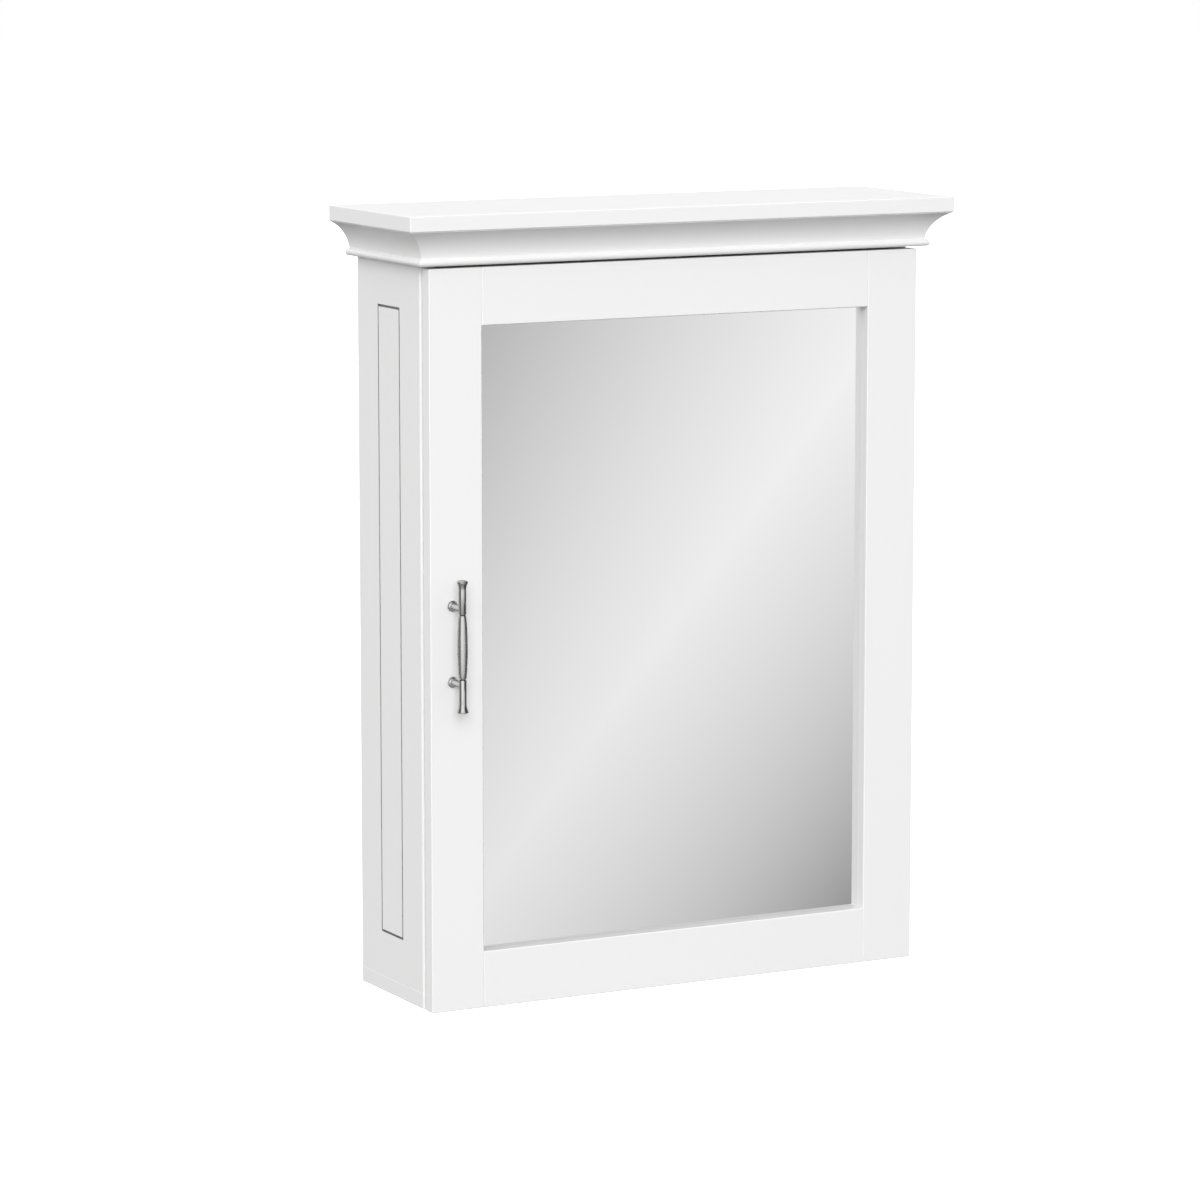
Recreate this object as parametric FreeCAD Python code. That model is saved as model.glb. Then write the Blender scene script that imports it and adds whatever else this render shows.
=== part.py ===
import FreeCAD, Part
import math
import os

# Hanging wall cabinet with one mirrored door, a coved cornice and a cap board.
# Millimetres. +X is to the right of someone facing the door, +Y goes into the wall, +Z is up.
# The origin is on the wall plane, midway between the two wall-screw holes.
# Heights below are counted from the cabinet's underside, and depths from the wall plane.

# ---------------------------------------------------------------- carcass
carcass_width = 540.0
carcass_depth = 141.5
carcass_board = 16.0
edge_round = 1.0
front_round = 3.0

# ---------------------------------------------------------------- door
door_height = 722.0
door_thickness = 15.0
stile_width = 56.0
rail_width = 56.0
door_top_gap = 2.4
door_edge_round = 0.9
joint_chamfer = 0.8

# ---------------------------------------------------------------- cap and cornice
cap_thickness = 15.0
cap_round = 0.9
cornice_height = 34.6
cornice_projection = 30.0
front_reach = 42.0
cap_reveal = 1.5
cove_top_edge = 0.8
cove_radius = 34.0
cove_foot_out = 8.5
bead_radius = 3.5
bead_out = 12.6
bead_quirk = 0.7
cleat_width = 36.0

# ---------------------------------------------------------------- routed rectangle on the sides
groove_width = 2.4
groove_depth = 3.0
groove_edge_margin = 46.0
groove_bottom_margin = 44.0
groove_top_margin = 44.0

# ---------------------------------------------------------------- back panel and hanging rail
back_thickness = 3.0
back_rebate = 8.0
back_clearance = 0.5
rail_height = 60.0
rail_thickness = 15.0
wall_hole_spacing = 400.0
wall_hole_radius = 3.0
nail_radius = 0.8
nail_head_radius = 2.2
nail_head_thickness = 0.6
nail_length = 20.0
side_nails = 6
end_nails = 4
nail_end_margin = 60.0
nail_from_rail = 15.0

# ---------------------------------------------------------------- shelves
shelf_thickness = 15.0
shelf_front_setback = 20.0
shelf_side_clearance = 1.0
shelf_back_clearance = 0.5
lower_shelf_height = 242.0
upper_shelf_height = 483.0
pin_radius = 2.5
pin_hole_clearance = 0.05
pin_in_wood = 8.0
pin_proud = 8.0
pin_collar_radius = 3.5
pin_collar_thickness = 0.8
pin_hole_depth = 9.0
pin_hole_pitch = 32.0
pin_holes_each_way = 2
pin_inset = 22.0

# ---------------------------------------------------------------- mirror
mirror_thickness = 3.0
mirror_rebate = 8.0
mirror_clearance = 0.5
backing_thickness = 3.0
backing_landing = 10.0

# ---------------------------------------------------------------- dowels, cams and screws
dowel_radius = 4.0
dowel_length = 30.0
dowel_in_face = 10.0
door_dowel_length = 40.0
door_dowel_pitch = 30.0
dowel_clearance = 0.05
dowel_end_margin = 30.0
cam_radius = 7.5
cam_depth = 12.5
cam_setback = 24.0
cam_slot_depth = 1.5
cam_bolt_radius = 3.0
cam_bolt_in_face = 11.0
door_dowel_radius = 3.0
screw_clearance = 0.05
screw_share_of_board = 0.6
recess_width = 0.9
recess_depth = 1.0
cap_screw_radius = 2.0
cap_head_radius = 4.0
cap_head_height = 2.4
cap_screw_setback = 12.0
cap_screw_from_rail = 9.0
cap_screw_share_of_width = 0.67
backing_screw_radius = 1.3
backing_head_radius = 2.6
backing_head_height = 1.4
catch_screw_radius = 1.5
catch_head_radius = 2.8
catch_head_height = 1.2

# ---------------------------------------------------------------- hinges
hinge_length = 50.0
hinge_width = 14.4
leaf_thickness = 2.0
leaf_clearance = 0.2
barrel_radius = 3.0
barrel_clearance = 0.2
hinge_pin_radius = 1.45
hinge_pin_clearance = 0.05
knuckles = 5
knuckle_clearance = 0.2
finial_radius = 2.6
finial_height = 2.1
hinge_end_distance = 90.0
hinge_screw_pitch = 17.0
hinge_screw_radius = 1.7
hinge_head_radius = 3.2
hinge_head_height = 1.5
hinge_head_sunk = 0.1
carcass_screw_length = 18.0
door_screw_length = 12.0

# ---------------------------------------------------------------- handle
handle_edge_distance = 23.0
handle_centre_height = 361.0
handle_centres = 74.0
handle_projection = 22.4
handle_length = 129.4
handle_tube_radius = 3.6
flare_radius = 5.5
tube_end_chamfer = 0.4
flare_length = 8.4
flare_power = 2.2
flare_rim = 0.7
end_dome = 1.4
dome_shoulder_share = 0.7
grip_end_from_post = 6.1
grip_end_radius = 3.2
grip_middle_radius = 4.9
grip_fullness = 0.55
neck_ring_thickness = 0.8
neck_ring_radius = 2.6
rosette_radius = 5.35
rosette_thickness = 1.3
rosette_chamfer = 0.3
boss_radius = 4.2
boss_thickness = 0.9
boss_chamfer = 0.3
post_radius = 2.9
post_flare_length = 1.2
handle_screw_radius = 2.0
handle_screw_in_post = 10.0
handle_head_radius = 3.8
handle_head_height = 2.2

# ---------------------------------------------------------------- catch and bumpers
catch_length = 44.0
catch_width = 12.0
catch_depth = 16.0
catch_height = 361.0
catch_front_setback = 0.8
magnet_length = 24.0
magnet_width = 6.0
magnet_share_of_depth = 0.75
pole_plate_thickness = 1.2
pole_proud = 0.6
catch_gap = 0.2
strike_thickness = 1.5
strike_length = 40.0
strike_width = 12.0
bumper_radius = 4.0
bumper_end_margin = 32.0
bumper_clearance = 0.2

# ---------------------------------------------------------------- places worked out from the sizes
door_gap = 2 * leaf_thickness + leaf_clearance
half_width = carcass_width / 2
inner_half = half_width - carcass_board
cornice_bottom = door_height + door_top_gap
top_board_top = cornice_bottom + carcass_board
cap_bottom = cornice_bottom + cornice_height
cap_top = cap_bottom + cap_thickness
cap_half = half_width + cornice_projection
carcass_front = -carcass_depth
cap_front = carcass_front - front_reach
crown_front = cap_front + cornice_projection
door_back = carcass_front - door_gap
door_front = door_back - door_thickness
opening_half = half_width - stile_width
screw_line = cornice_bottom - rail_height / 2
hinge_axis_x = half_width + barrel_radius + barrel_clearance
hinge_axis_y = carcass_front - door_gap / 2
shelf_back = -back_thickness - shelf_back_clearance
shelf_front = carcass_front + shelf_front_setback
grip_length = handle_centres - 2 * grip_end_from_post

X_AXIS = FreeCAD.Vector(1, 0, 0)
Y_AXIS = FreeCAD.Vector(0, 1, 0)
Z_AXIS = FreeCAD.Vector(0, 0, 1)


# ================================================================ helpers
def save(name, *solids):
    """Write one node, with its heights counted from the wall screws."""
    shape = solids[0] if len(solids) == 1 else Part.makeCompound(list(solids))
    moved = shape.copy()
    moved.translate(FreeCAD.Vector(0, 0, -screw_line))
    moved.exportStep(os.path.join("parts", name + ".step"))
    print(f"{name}: {len(moved.Solids)} solid(s), {moved.Volume / 1000:.2f} cm3")


def block(low, high):
    """A box between two opposite corners."""
    size = [b - a for a, b in zip(low, high)]
    return Part.makeBox(*size, FreeCAD.Vector(*low))


def rod(start, direction, radius, length):
    """A round bar from a point along a direction."""
    return Part.makeCylinder(radius, length, FreeCAD.Vector(*start), direction)


def lies_at(edge, axis, value):
    """True when both ends of an edge have this coordinate."""
    return all(abs(getattr(v.Point, axis) - value) < 1e-6 for v in edge.Vertexes)


def edges_where(shape, *places):
    """Straight edges on which every (axis, value) of at least one listed place holds."""
    return [e for e in shape.Edges if any(all(lies_at(e, a, v) for a, v in p) for p in places)]


def eased(shape, radius, *places):
    """The shape with the named edges rounded."""
    return shape.makeFillet(radius, edges_where(shape, *places))


def cut_all(shape, cutters):
    """The shape less a list of cutters."""
    return shape.cut(Part.makeCompound(cutters)) if cutters else shape


def single(shape):
    """The one solid of a result, so that each piece is written as a solid."""
    solids = shape.Solids
    if len(solids) != 1:
        raise ValueError(f"expected one solid, got {len(solids)}")
    return solids[0]


def spread(low, high, count):
    """Evenly spaced values that include both ends."""
    return [low + (high - low) * i / (count - 1) for i in range(count)]


def turned(points, centre, direction):
    """A solid of revolution: (distance along, radius) points turned about a direction."""
    along = FreeCAD.Vector(direction)
    side = X_AXIS if abs(along.x) < 0.5 else Y_AXIS
    base = FreeCAD.Vector(*centre)
    start = base + along * points[0][0]
    end = base + along * points[-1][0]
    closed = [start]
    for point in [base + along * t + side * r for t, r in points] + [end, start]:
        if (point - closed[-1]).Length > 1e-9:
            closed.append(point)
    return Part.Face(Part.makePolygon(closed)).revolve(base, along, 360)


def flat_head_screw(head, direction, shank_radius, length, head_radius, head_height, gap=0.0):
    """A countersunk screw whose flat head starts at a point; gap widens it into its own hole."""
    top = FreeCAD.Vector(*head)
    cone = Part.makeCone(head_radius + gap, shank_radius + gap, head_height, top, direction)
    shank = rod(head, direction, shank_radius + gap, length + gap)
    return cone.fuse(shank)


def cross_recess(head, direction, span):
    """Two crossed slots that cut a driver recess into a screw's head."""
    point = FreeCAD.Vector(*head)
    half = recess_width / 2
    slots = []
    for angle in (0, 90):
        slot = block((-span / 2, -half, 0), (span / 2, half, recess_depth))
        slot.rotate(FreeCAD.Vector(0, 0, 0), Z_AXIS, angle)
        slots.append(slot)
    cross = slots[0].fuse(slots[1])
    cross.Placement = FreeCAD.Placement(point, FreeCAD.Rotation(Z_AXIS, direction))
    return cross


class Screws:
    """Like countersunk screws in one node, with the holes they need."""

    def __init__(self, shank_radius, head_radius, head_height):
        self.sizes = (shank_radius, head_radius, head_height)
        self.places = []

    def add(self, head, direction, length):
        self.places.append((head, direction, length))

    def solids(self):
        shank, wide, tall = self.sizes
        made = []
        for head, direction, length in self.places:
            body = flat_head_screw(head, direction, shank, length, wide, tall)
            made.append(single(body.cut(cross_recess(head, direction, wide))))
        return made

    def holes(self):
        shank, wide, tall = self.sizes
        return [flat_head_screw(h, d, shank, n, wide, tall, screw_clearance) for h, d, n in self.places]


# ================================================================ joinery shared by the boards
def carcass_joints():
    """Dowels, cam bolts and cam housings at the four corners, and the holes they need."""
    dowels, bolts, cams, dowel_holes, bolt_holes, cam_holes = [], [], [], [], [], []
    for side in (-1, 1):
        middle = side * (half_width - carcass_board / 2)
        for joint, up in ((carcass_board, 1), (cornice_bottom, -1)):
            into_side = Z_AXIS * up
            back, *between, front = spread(-dowel_end_margin, carcass_front + dowel_end_margin, 4)
            for y in (back, front):
                start = (middle, y, joint - up * dowel_in_face)
                dowels.append(rod(start, into_side, dowel_radius, dowel_length))
                dowel_holes.append(rod(start, into_side, dowel_radius + dowel_clearance, dowel_length))
            for y in between:
                start = (middle, y, joint - up * cam_bolt_in_face)
                reach = cam_bolt_in_face + cam_setback
                bolts.append(rod(start, into_side, cam_bolt_radius, reach))
                bolt_holes.append(rod(start, into_side, cam_bolt_radius + dowel_clearance, reach))
                face = (side * inner_half, y, joint + up * cam_setback)
                outward = X_AXIS * side
                cams.append((face, outward))
                cam_holes.append(rod(face, outward, cam_radius + dowel_clearance, cam_depth))
    for side in (-1, 1):
        for z in (screw_line - rail_height / 4, screw_line + rail_height / 4):
            start = (side * (inner_half + dowel_in_face), -back_thickness - rail_thickness / 2, z)
            inward = X_AXIS * -side
            dowels.append(rod(start, inward, dowel_radius, dowel_length))
            dowel_holes.append(rod(start, inward, dowel_radius + dowel_clearance, dowel_length))
    housings = []
    for face, outward in cams:
        housing = rod(face, outward, cam_radius, cam_depth)
        slot = cross_recess(face, outward, cam_radius)
        slot_deep = slot.copy()
        slot_deep.translate(outward * (cam_slot_depth - recess_depth))
        housings.append(single(cut_all(housing, [slot, slot_deep] + bolt_holes)))
    return dowels, bolts, housings, dowel_holes + bolt_holes, cam_holes


def back_nails(gap=0.0):
    """Flat-headed nails through the back panel's edge."""
    highest = screw_line - rail_height / 2 - dowel_radius - nail_from_rail
    places = [(side * (inner_half + back_rebate / 2), z) for side in (-1, 1)
              for z in spread(nail_end_margin, highest, side_nails)]
    places += [(x, z) for z in (carcass_board - back_rebate / 2, cornice_bottom + back_rebate / 2)
               for x in spread(-inner_half + nail_end_margin, inner_half - nail_end_margin, end_nails)]
    nails = []
    for x, z in places:
        head = rod((x, 0, z), -Y_AXIS, nail_head_radius + gap, nail_head_thickness)
        shank = rod((x, 0, z), -Y_AXIS, nail_radius + gap, nail_length)
        nails.append(head.fuse(shank))
    return nails


def cap_screws():
    """Screws from inside the cabinet, up through the top board and the cleats into the cap."""
    screws = Screws(cap_screw_radius, cap_head_radius, cap_head_height)
    length = cap_bottom - cornice_bottom + cap_thickness * screw_share_of_board
    behind_front = carcass_front + cap_screw_setback
    before_rail = -back_thickness - rail_thickness - cap_screw_from_rail
    reach = inner_half * cap_screw_share_of_width
    for x in spread(-reach, reach, 3):
        screws.add((x, behind_front, cornice_bottom), Z_AXIS, length)
        screws.add((x, before_rail, cornice_bottom), Z_AXIS, length)
    for side in (-1, 1):
        inside_cleat = side * (inner_half - (cleat_width - carcass_board) / 2)
        screws.add((inside_cleat, carcass_front / 2, cornice_bottom), Z_AXIS, length)
    return screws


# ================================================================ hinges
def hinge_centres():
    """Heights of the two hinges, and the names that go with them."""
    return (("lower", hinge_end_distance), ("upper", door_height - hinge_end_distance))


def hinge_screws(toward_wall):
    """Screws of both hinges on the carcass (toward the wall) or on the door."""
    screws = Screws(hinge_screw_radius, hinge_head_radius, hinge_head_height)
    sign = 1 if toward_wall else -1
    x = half_width - hinge_width / 2 - barrel_clearance / 2
    y = hinge_axis_y + sign * (leaf_clearance / 2 + hinge_head_sunk)
    length = carcass_screw_length if toward_wall else door_screw_length
    for _, centre in hinge_centres():
        for step in (-1, 0, 1):
            screws.add((x, y, centre + step * hinge_screw_pitch), Y_AXIS * sign, length)
    return screws


def hinge_leaf(centre, toward_wall, screw_holes):
    """One leaf: a flat plate with every second knuckle of the barrel."""
    sign = 1 if toward_wall else -1
    low_z = centre - hinge_length / 2
    near = hinge_axis_y + sign * leaf_clearance / 2
    far = near + sign * leaf_thickness
    y0, y1 = sorted((near, far))
    plate_edge = hinge_axis_x - barrel_radius - barrel_clearance
    leaf = block((plate_edge - hinge_width, y0, low_z), (plate_edge, y1, low_z + hinge_length))
    step = hinge_length / knuckles
    own = range(0, knuckles, 2) if toward_wall else range(1, knuckles, 2)
    for i in own:
        z0 = low_z + i * step + (knuckle_clearance / 2 if i else 0)
        z1 = low_z + (i + 1) * step - (knuckle_clearance / 2 if i < knuckles - 1 else 0)
        leaf = leaf.fuse(block((plate_edge, y0, z0), (hinge_axis_x, y1, z1)))
        leaf = leaf.fuse(rod((hinge_axis_x, hinge_axis_y, z0), Z_AXIS, barrel_radius, z1 - z0))
    bore_radius = hinge_pin_radius + hinge_pin_clearance
    bore = rod((hinge_axis_x, hinge_axis_y, low_z), Z_AXIS, bore_radius, hinge_length)
    return single(cut_all(leaf, [bore] + screw_holes).removeSplitter())


def hinge_pin(centre):
    """A plain pin with a domed finial at each end."""
    half = hinge_length / 2
    dome = [(half + finial_height * math.sin(a), finial_radius * math.cos(a))
            for a in spread(0, math.pi / 2, 7)]
    upper = [(half, hinge_pin_radius)] + dome[:-1] + [(half + finial_height, 0.0)]
    lower = [(-t, r) for t, r in reversed(upper)]
    return single(turned(lower + upper, (hinge_axis_x, hinge_axis_y, centre), Z_AXIS))


# ================================================================ handle
handle_x = -half_width + handle_edge_distance
handle_y = door_front - handle_projection


def handle_tube(sign):
    """A plain tube with a trumpet end; sign is 1 for the upper one."""
    inner = grip_length / 2 + neck_ring_thickness
    outer = handle_length / 2
    start = outer - end_dome - flare_rim - flare_length
    grow = flare_radius - handle_tube_radius
    points = [(inner, 0.0), (inner, handle_tube_radius - tube_end_chamfer),
              (inner + tube_end_chamfer, handle_tube_radius)]
    points += [(start + flare_length * u, handle_tube_radius + grow * u ** flare_power)
               for u in spread(0, 1, 9)]
    points += [(outer - end_dome, flare_radius),
               (outer - end_dome / 3, flare_radius * dome_shoulder_share), (outer, 0.0)]
    return single(turned(points, (handle_x, handle_y, handle_centre_height), Z_AXIS * sign))


def handle_grip():
    """A satin spindle, widest in the middle."""
    half = grip_length / 2
    swell = grip_middle_radius - grip_end_radius
    points = [(-half, 0.0)]
    for u in spread(-1, 1, 25):
        rise = max(0.0, math.cos(u * math.pi / 2)) ** grip_fullness
        points.append((half * u, grip_end_radius + swell * rise))
    points.append((half, 0.0))
    return single(turned(points, (handle_x, handle_y, handle_centre_height), Z_AXIS))


def handle_post(sign):
    """A post from a stepped rosette on the door up to the tube, which it meets in a saddle."""
    height = handle_centre_height + sign * handle_centres / 2
    boss_end = rosette_thickness + boss_thickness
    grow = boss_radius - boss_chamfer - post_radius
    points = [(0.0, 0.0), (0.0, rosette_radius - rosette_chamfer), (rosette_chamfer, rosette_radius),
              (rosette_thickness - rosette_chamfer, rosette_radius),
              (rosette_thickness, rosette_radius - rosette_chamfer), (rosette_thickness, boss_radius),
              (boss_end - boss_chamfer, boss_radius)]
    points += [(boss_end + post_flare_length * u, post_radius + grow * (1 - u) ** 2)
               for u in spread(0, 1, 8)]
    points.append((handle_projection, post_radius))
    post = turned(points, (handle_x, door_front, height), -Y_AXIS)
    reach = 2 * rosette_radius
    tube = rod((handle_x, handle_y, height - reach), Z_AXIS, handle_tube_radius, 2 * reach)
    return post.cut(tube), height


def handle_screw(height, gap=0.0):
    """A pan-head screw from the door's back into a post."""
    head = rod((handle_x, door_back, height), Y_AXIS, handle_head_radius + gap, handle_head_height)
    shank = rod((handle_x, door_back, height), -Y_AXIS, handle_screw_radius + gap,
                door_thickness + handle_screw_in_post)
    return head.fuse(shank)


# ================================================================ cornice
def cornice_outline():
    """The moulding's section: (distance out from the crown's face, height), as a closed face in XZ."""
    top_out = cornice_projection - cap_reveal
    cove_top = cap_bottom - cove_top_edge
    bead_middle = cornice_bottom + bead_radius
    bead_top = cornice_bottom + 2 * bead_radius
    bead_centre = bead_out - bead_radius
    cove_foot = bead_top + bead_quirk
    start = FreeCAD.Vector(top_out, 0, cove_top)
    foot = FreeCAD.Vector(cove_foot_out, 0, cove_foot)
    chord = foot - start
    half_chord = chord.Length / 2
    sagitta = cove_radius - math.sqrt(cove_radius ** 2 - half_chord ** 2)
    inward = FreeCAD.Vector(chord.z, 0, -chord.x).normalize()
    middle = start + chord * 0.5 + inward * sagitta

    def line(x0, z0, x1, z1):
        return Part.LineSegment(FreeCAD.Vector(x0, 0, z0), FreeCAD.Vector(x1, 0, z1)).toShape()

    bead = Part.Arc(FreeCAD.Vector(bead_centre, 0, bead_top),
                    FreeCAD.Vector(bead_out, 0, bead_middle),
                    FreeCAD.Vector(bead_centre, 0, cornice_bottom)).toShape()
    edges = [line(0, cornice_bottom, 0, cap_bottom), line(0, cap_bottom, top_out, cap_bottom),
             line(top_out, cap_bottom, top_out, cove_top), Part.Arc(start, middle, foot).toShape(),
             line(cove_foot_out, cove_foot, cove_foot_out, bead_top),
             line(cove_foot_out, bead_top, bead_centre, bead_top), bead,
             line(bead_centre, cornice_bottom, 0, cornice_bottom)]
    return Part.Face(Part.Wire(edges))


def cornice_lengths():
    """The front, right and left mouldings, mitred at the two front corners."""
    section = cornice_outline()
    beyond = cornice_projection * 2
    right = section.copy()
    right.translate(FreeCAD.Vector(half_width, crown_front - beyond, 0))
    right = right.extrude(FreeCAD.Vector(0, -crown_front + beyond, 0))
    front = section.copy()
    front.rotate(FreeCAD.Vector(0, 0, 0), Z_AXIS, -90)
    front.translate(FreeCAD.Vector(-half_width - beyond, crown_front, 0))
    front = front.extrude(FreeCAD.Vector(carcass_width + 2 * beyond, 0, 0))

    def wedge(side):
        """The space outside a front corner's mitre plane, on the side length's side."""
        under = cornice_bottom - 1
        away = 3 * beyond
        corner = FreeCAD.Vector(side * half_width, crown_front, under)
        far = FreeCAD.Vector(side * (half_width + away), crown_front - away, under)
        back = FreeCAD.Vector(far.x, crown_front, under)
        profile = Part.Face(Part.makePolygon([corner, far, back, corner]))
        return profile.extrude(FreeCAD.Vector(0, 0, cornice_height + 2))

    right_region = wedge(1).fuse(block((half_width, crown_front, cornice_bottom - 1),
                                       (half_width + beyond, 0, cap_bottom + 1)))
    right_length = single(right.common(right_region).removeSplitter())
    front_length = single(front.cut(wedge(1)).cut(wedge(-1)).common(
        block((-half_width - beyond, crown_front - beyond, cornice_bottom - 1),
              (half_width + beyond, crown_front, cap_bottom + 1))))
    left_length = right_length.mirror(FreeCAD.Vector(0, 0, 0), X_AXIS)
    return front_length, left_length, right_length


# ================================================================ boards
def side_panel(side, holes):
    """A side: rebated for the back, drilled for pins, with the thin routed rectangle outside."""
    x0, x1 = sorted((side * inner_half, side * half_width))
    outer = side * half_width
    panel = block((x0, carcass_front, carcass_board), (x1, 0, cornice_bottom))
    panel = eased(panel, front_round, (("x", outer), ("y", carcass_front)))
    panel = eased(panel, edge_round, (("x", outer), ("y", 0)))
    rebate_x = sorted((side * inner_half, side * (inner_half + back_rebate)))
    rebate = block((rebate_x[0], -back_thickness, carcass_board), (rebate_x[1], 0, cornice_bottom))
    groove_x = sorted((outer - side * groove_depth, outer + side))
    low = (carcass_front + groove_edge_margin, carcass_board + groove_bottom_margin)
    high = (-groove_edge_margin, cornice_bottom - groove_top_margin)
    ring = block((groove_x[0], low[0], low[1]), (groove_x[1], high[0], high[1])).cut(
        block((groove_x[0], low[0] + groove_width, low[1] + groove_width),
              (groove_x[1], high[0] - groove_width, high[1] - groove_width)))
    pin_holes = []
    hole_radius = pin_radius + pin_hole_clearance
    for y in pin_rows():
        for height in (lower_shelf_height, upper_shelf_height):
            for i in range(-pin_holes_each_way, pin_holes_each_way + 1):
                place = (side * inner_half, y, height - pin_radius + i * pin_hole_pitch)
                pin_holes.append(rod(place, X_AXIS * side, hole_radius, pin_hole_depth))
    return single(cut_all(panel, [rebate, ring] + pin_holes + holes))


def pin_rows():
    """Depths of the back and front rows of shelf pins."""
    return shelf_back - pin_inset, shelf_front + pin_inset


def shelf(height):
    """A shelf board with eased front edges."""
    half = inner_half - shelf_side_clearance
    top = height + shelf_thickness
    board = block((-half, shelf_front, height), (half, shelf_back, top))
    return eased(board, edge_round, *((("y", shelf_front), ("z", z)) for z in (height, top)))


def shelf_pins():
    """Four collared pins under each shelf."""
    pins = []
    for height in (lower_shelf_height, upper_shelf_height):
        for y in pin_rows():
            for side in (-1, 1):
                z = height - pin_radius
                inward = X_AXIS * -side
                stem = rod((side * (inner_half + pin_in_wood), y, z), inward, pin_radius,
                           pin_in_wood + pin_proud)
                collar = rod((side * inner_half, y, z), inward, pin_collar_radius, pin_collar_thickness)
                pins.append(single(stem.fuse(collar)))
    return pins


def flat_board(z0, front, holes, rebate_up):
    """The bottom or top board, rebated for the back panel on its inner side."""
    z1 = z0 + carcass_board
    board = block((-half_width, front, z0), (half_width, 0, z1))
    if z0 == 0:
        board = eased(board, front_round, *((("x", s * half_width), ("y", front)) for s in (-1, 1)))
        board = eased(board, edge_round, (("y", front), ("z", z0)), (("y", front), ("z", z1)))
    inner = (z1 - back_rebate, z1) if rebate_up else (z0, z0 + back_rebate)
    rebate = block((-inner_half - back_rebate, -back_thickness, inner[0]),
                   (inner_half + back_rebate, 0, inner[1]))
    return single(cut_all(board, [rebate] + holes))


def wall_holes():
    """The two holes for the wall screws, through the back panel and the hanging rail."""
    return [rod((s * wall_hole_spacing / 2, 1, screw_line), -Y_AXIS, wall_hole_radius,
                back_thickness + rail_thickness + 2) for s in (-1, 1)]


def cleats():
    """Flat strips that lift the cap and back the cornice: front, back, left and right."""
    def strip(x0, y0, x1, y1):
        return block((x0, y0, top_board_top), (x1, y1, cap_bottom))

    front = strip(-half_width, crown_front, half_width, crown_front + cleat_width)
    back = strip(-half_width, -cleat_width, half_width, 0)
    right = strip(half_width - cleat_width, crown_front + cleat_width, half_width, -cleat_width)
    return front, back, right.mirror(FreeCAD.Vector(0, 0, 0), X_AXIS), right


# ================================================================ door
def door_dowels(gap=0.0):
    """Two dowels across each corner joint of the door's frame."""
    made = []
    middle = (door_front + door_back - mirror_thickness) / 2
    for side in (-1, 1):
        for centre in (rail_width / 2, door_height - rail_width / 2):
            for z in (centre - door_dowel_pitch / 2, centre + door_dowel_pitch / 2):
                start = (side * (opening_half - door_dowel_length / 2), middle, z)
                made.append(rod(start, X_AXIS * side, door_dowel_radius + gap, door_dowel_length))
    return made


def mirror_rebate_space():
    """The step cut round the door's opening at the back, for the mirror."""
    reach = mirror_rebate
    return block((-opening_half - reach, door_back - mirror_thickness, rail_width - reach),
                 (opening_half + reach, door_back + 1, door_height - rail_width + reach))


def door_stile(side, holes):
    """A full-height upright of the door's frame."""
    x0, x1 = sorted((side * opening_half, side * half_width))
    outer = side * half_width
    stile = block((x0, door_front, 0), (x1, door_back, door_height))
    stile = eased(stile, door_edge_round, *((("x", outer), ("y", y)) for y in (door_front, door_back)),
                  *((("y", door_front), ("z", z)) for z in (0, door_height)),
                  *((("x", outer), ("z", z)) for z in (0, door_height)))
    inner_edge = edges_where(stile, (("x", side * opening_half), ("y", door_front)))
    stile = stile.makeChamfer(joint_chamfer, inner_edge)
    return single(cut_all(stile, [mirror_rebate_space()] + holes))


def door_rail(z0, holes):
    """A cross rail between the stiles."""
    z1 = z0 + rail_width
    open_side = z1 if z0 == 0 else z0
    outer_side = z0 if z0 == 0 else z1
    rail = block((-opening_half, door_front, z0), (opening_half, door_back, z1))
    rail = eased(rail, door_edge_round, *((("y", y), ("z", outer_side)) for y in (door_front, door_back)))
    ends = [e for e in rail.Edges if lies_at(e, "y", door_front) and e.BoundBox.XLength < 1e-6
            and abs(e.Length - rail_width) < 2 * door_edge_round]
    along_opening = edges_where(rail, (("y", door_front), ("z", open_side)))
    rail = rail.makeChamfer(joint_chamfer, ends + along_opening)
    return single(cut_all(rail, [mirror_rebate_space()] + holes))


def backing_screws():
    """Small screws round the mirror's backing board."""
    screws = Screws(backing_screw_radius, backing_head_radius, backing_head_height)
    face = door_back + backing_thickness
    x = opening_half + mirror_rebate + backing_landing / 2
    low = rail_width - mirror_rebate - backing_landing / 2
    high = door_height - low
    length = backing_thickness + door_thickness * screw_share_of_board
    for z in spread(low + rail_width, high - rail_width, 3):
        for side in (-1, 1):
            screws.add((side * x, face, z), -Y_AXIS, length)
    for z in (low, high):
        for side in (-1, 1):
            screws.add((side * opening_half / 2, face, z), -Y_AXIS, length)
    return screws


# ================================================================ catch
strike_face = door_back + strike_thickness
catch_x = -inner_half + catch_width / 2


def strike_screw():
    """The strike plate's screw."""
    screws = Screws(catch_screw_radius, catch_head_radius, catch_head_height)
    length = strike_thickness + door_thickness * screw_share_of_board
    screws.add((catch_x, strike_face, catch_height), -Y_AXIS, length)
    return screws


def catch_screws():
    """Two screws through the catch's ends into the side panel."""
    screws = Screws(catch_screw_radius, catch_head_radius, catch_head_height)
    middle = carcass_front + catch_front_setback + catch_depth / 2
    length = catch_width + carcass_board * screw_share_of_board
    for sign in (-1, 1):
        z = catch_height + sign * (catch_length + magnet_length) / 4
        screws.add((-inner_half + catch_width, middle, z), -X_AXIS, length)
    return screws


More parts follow.
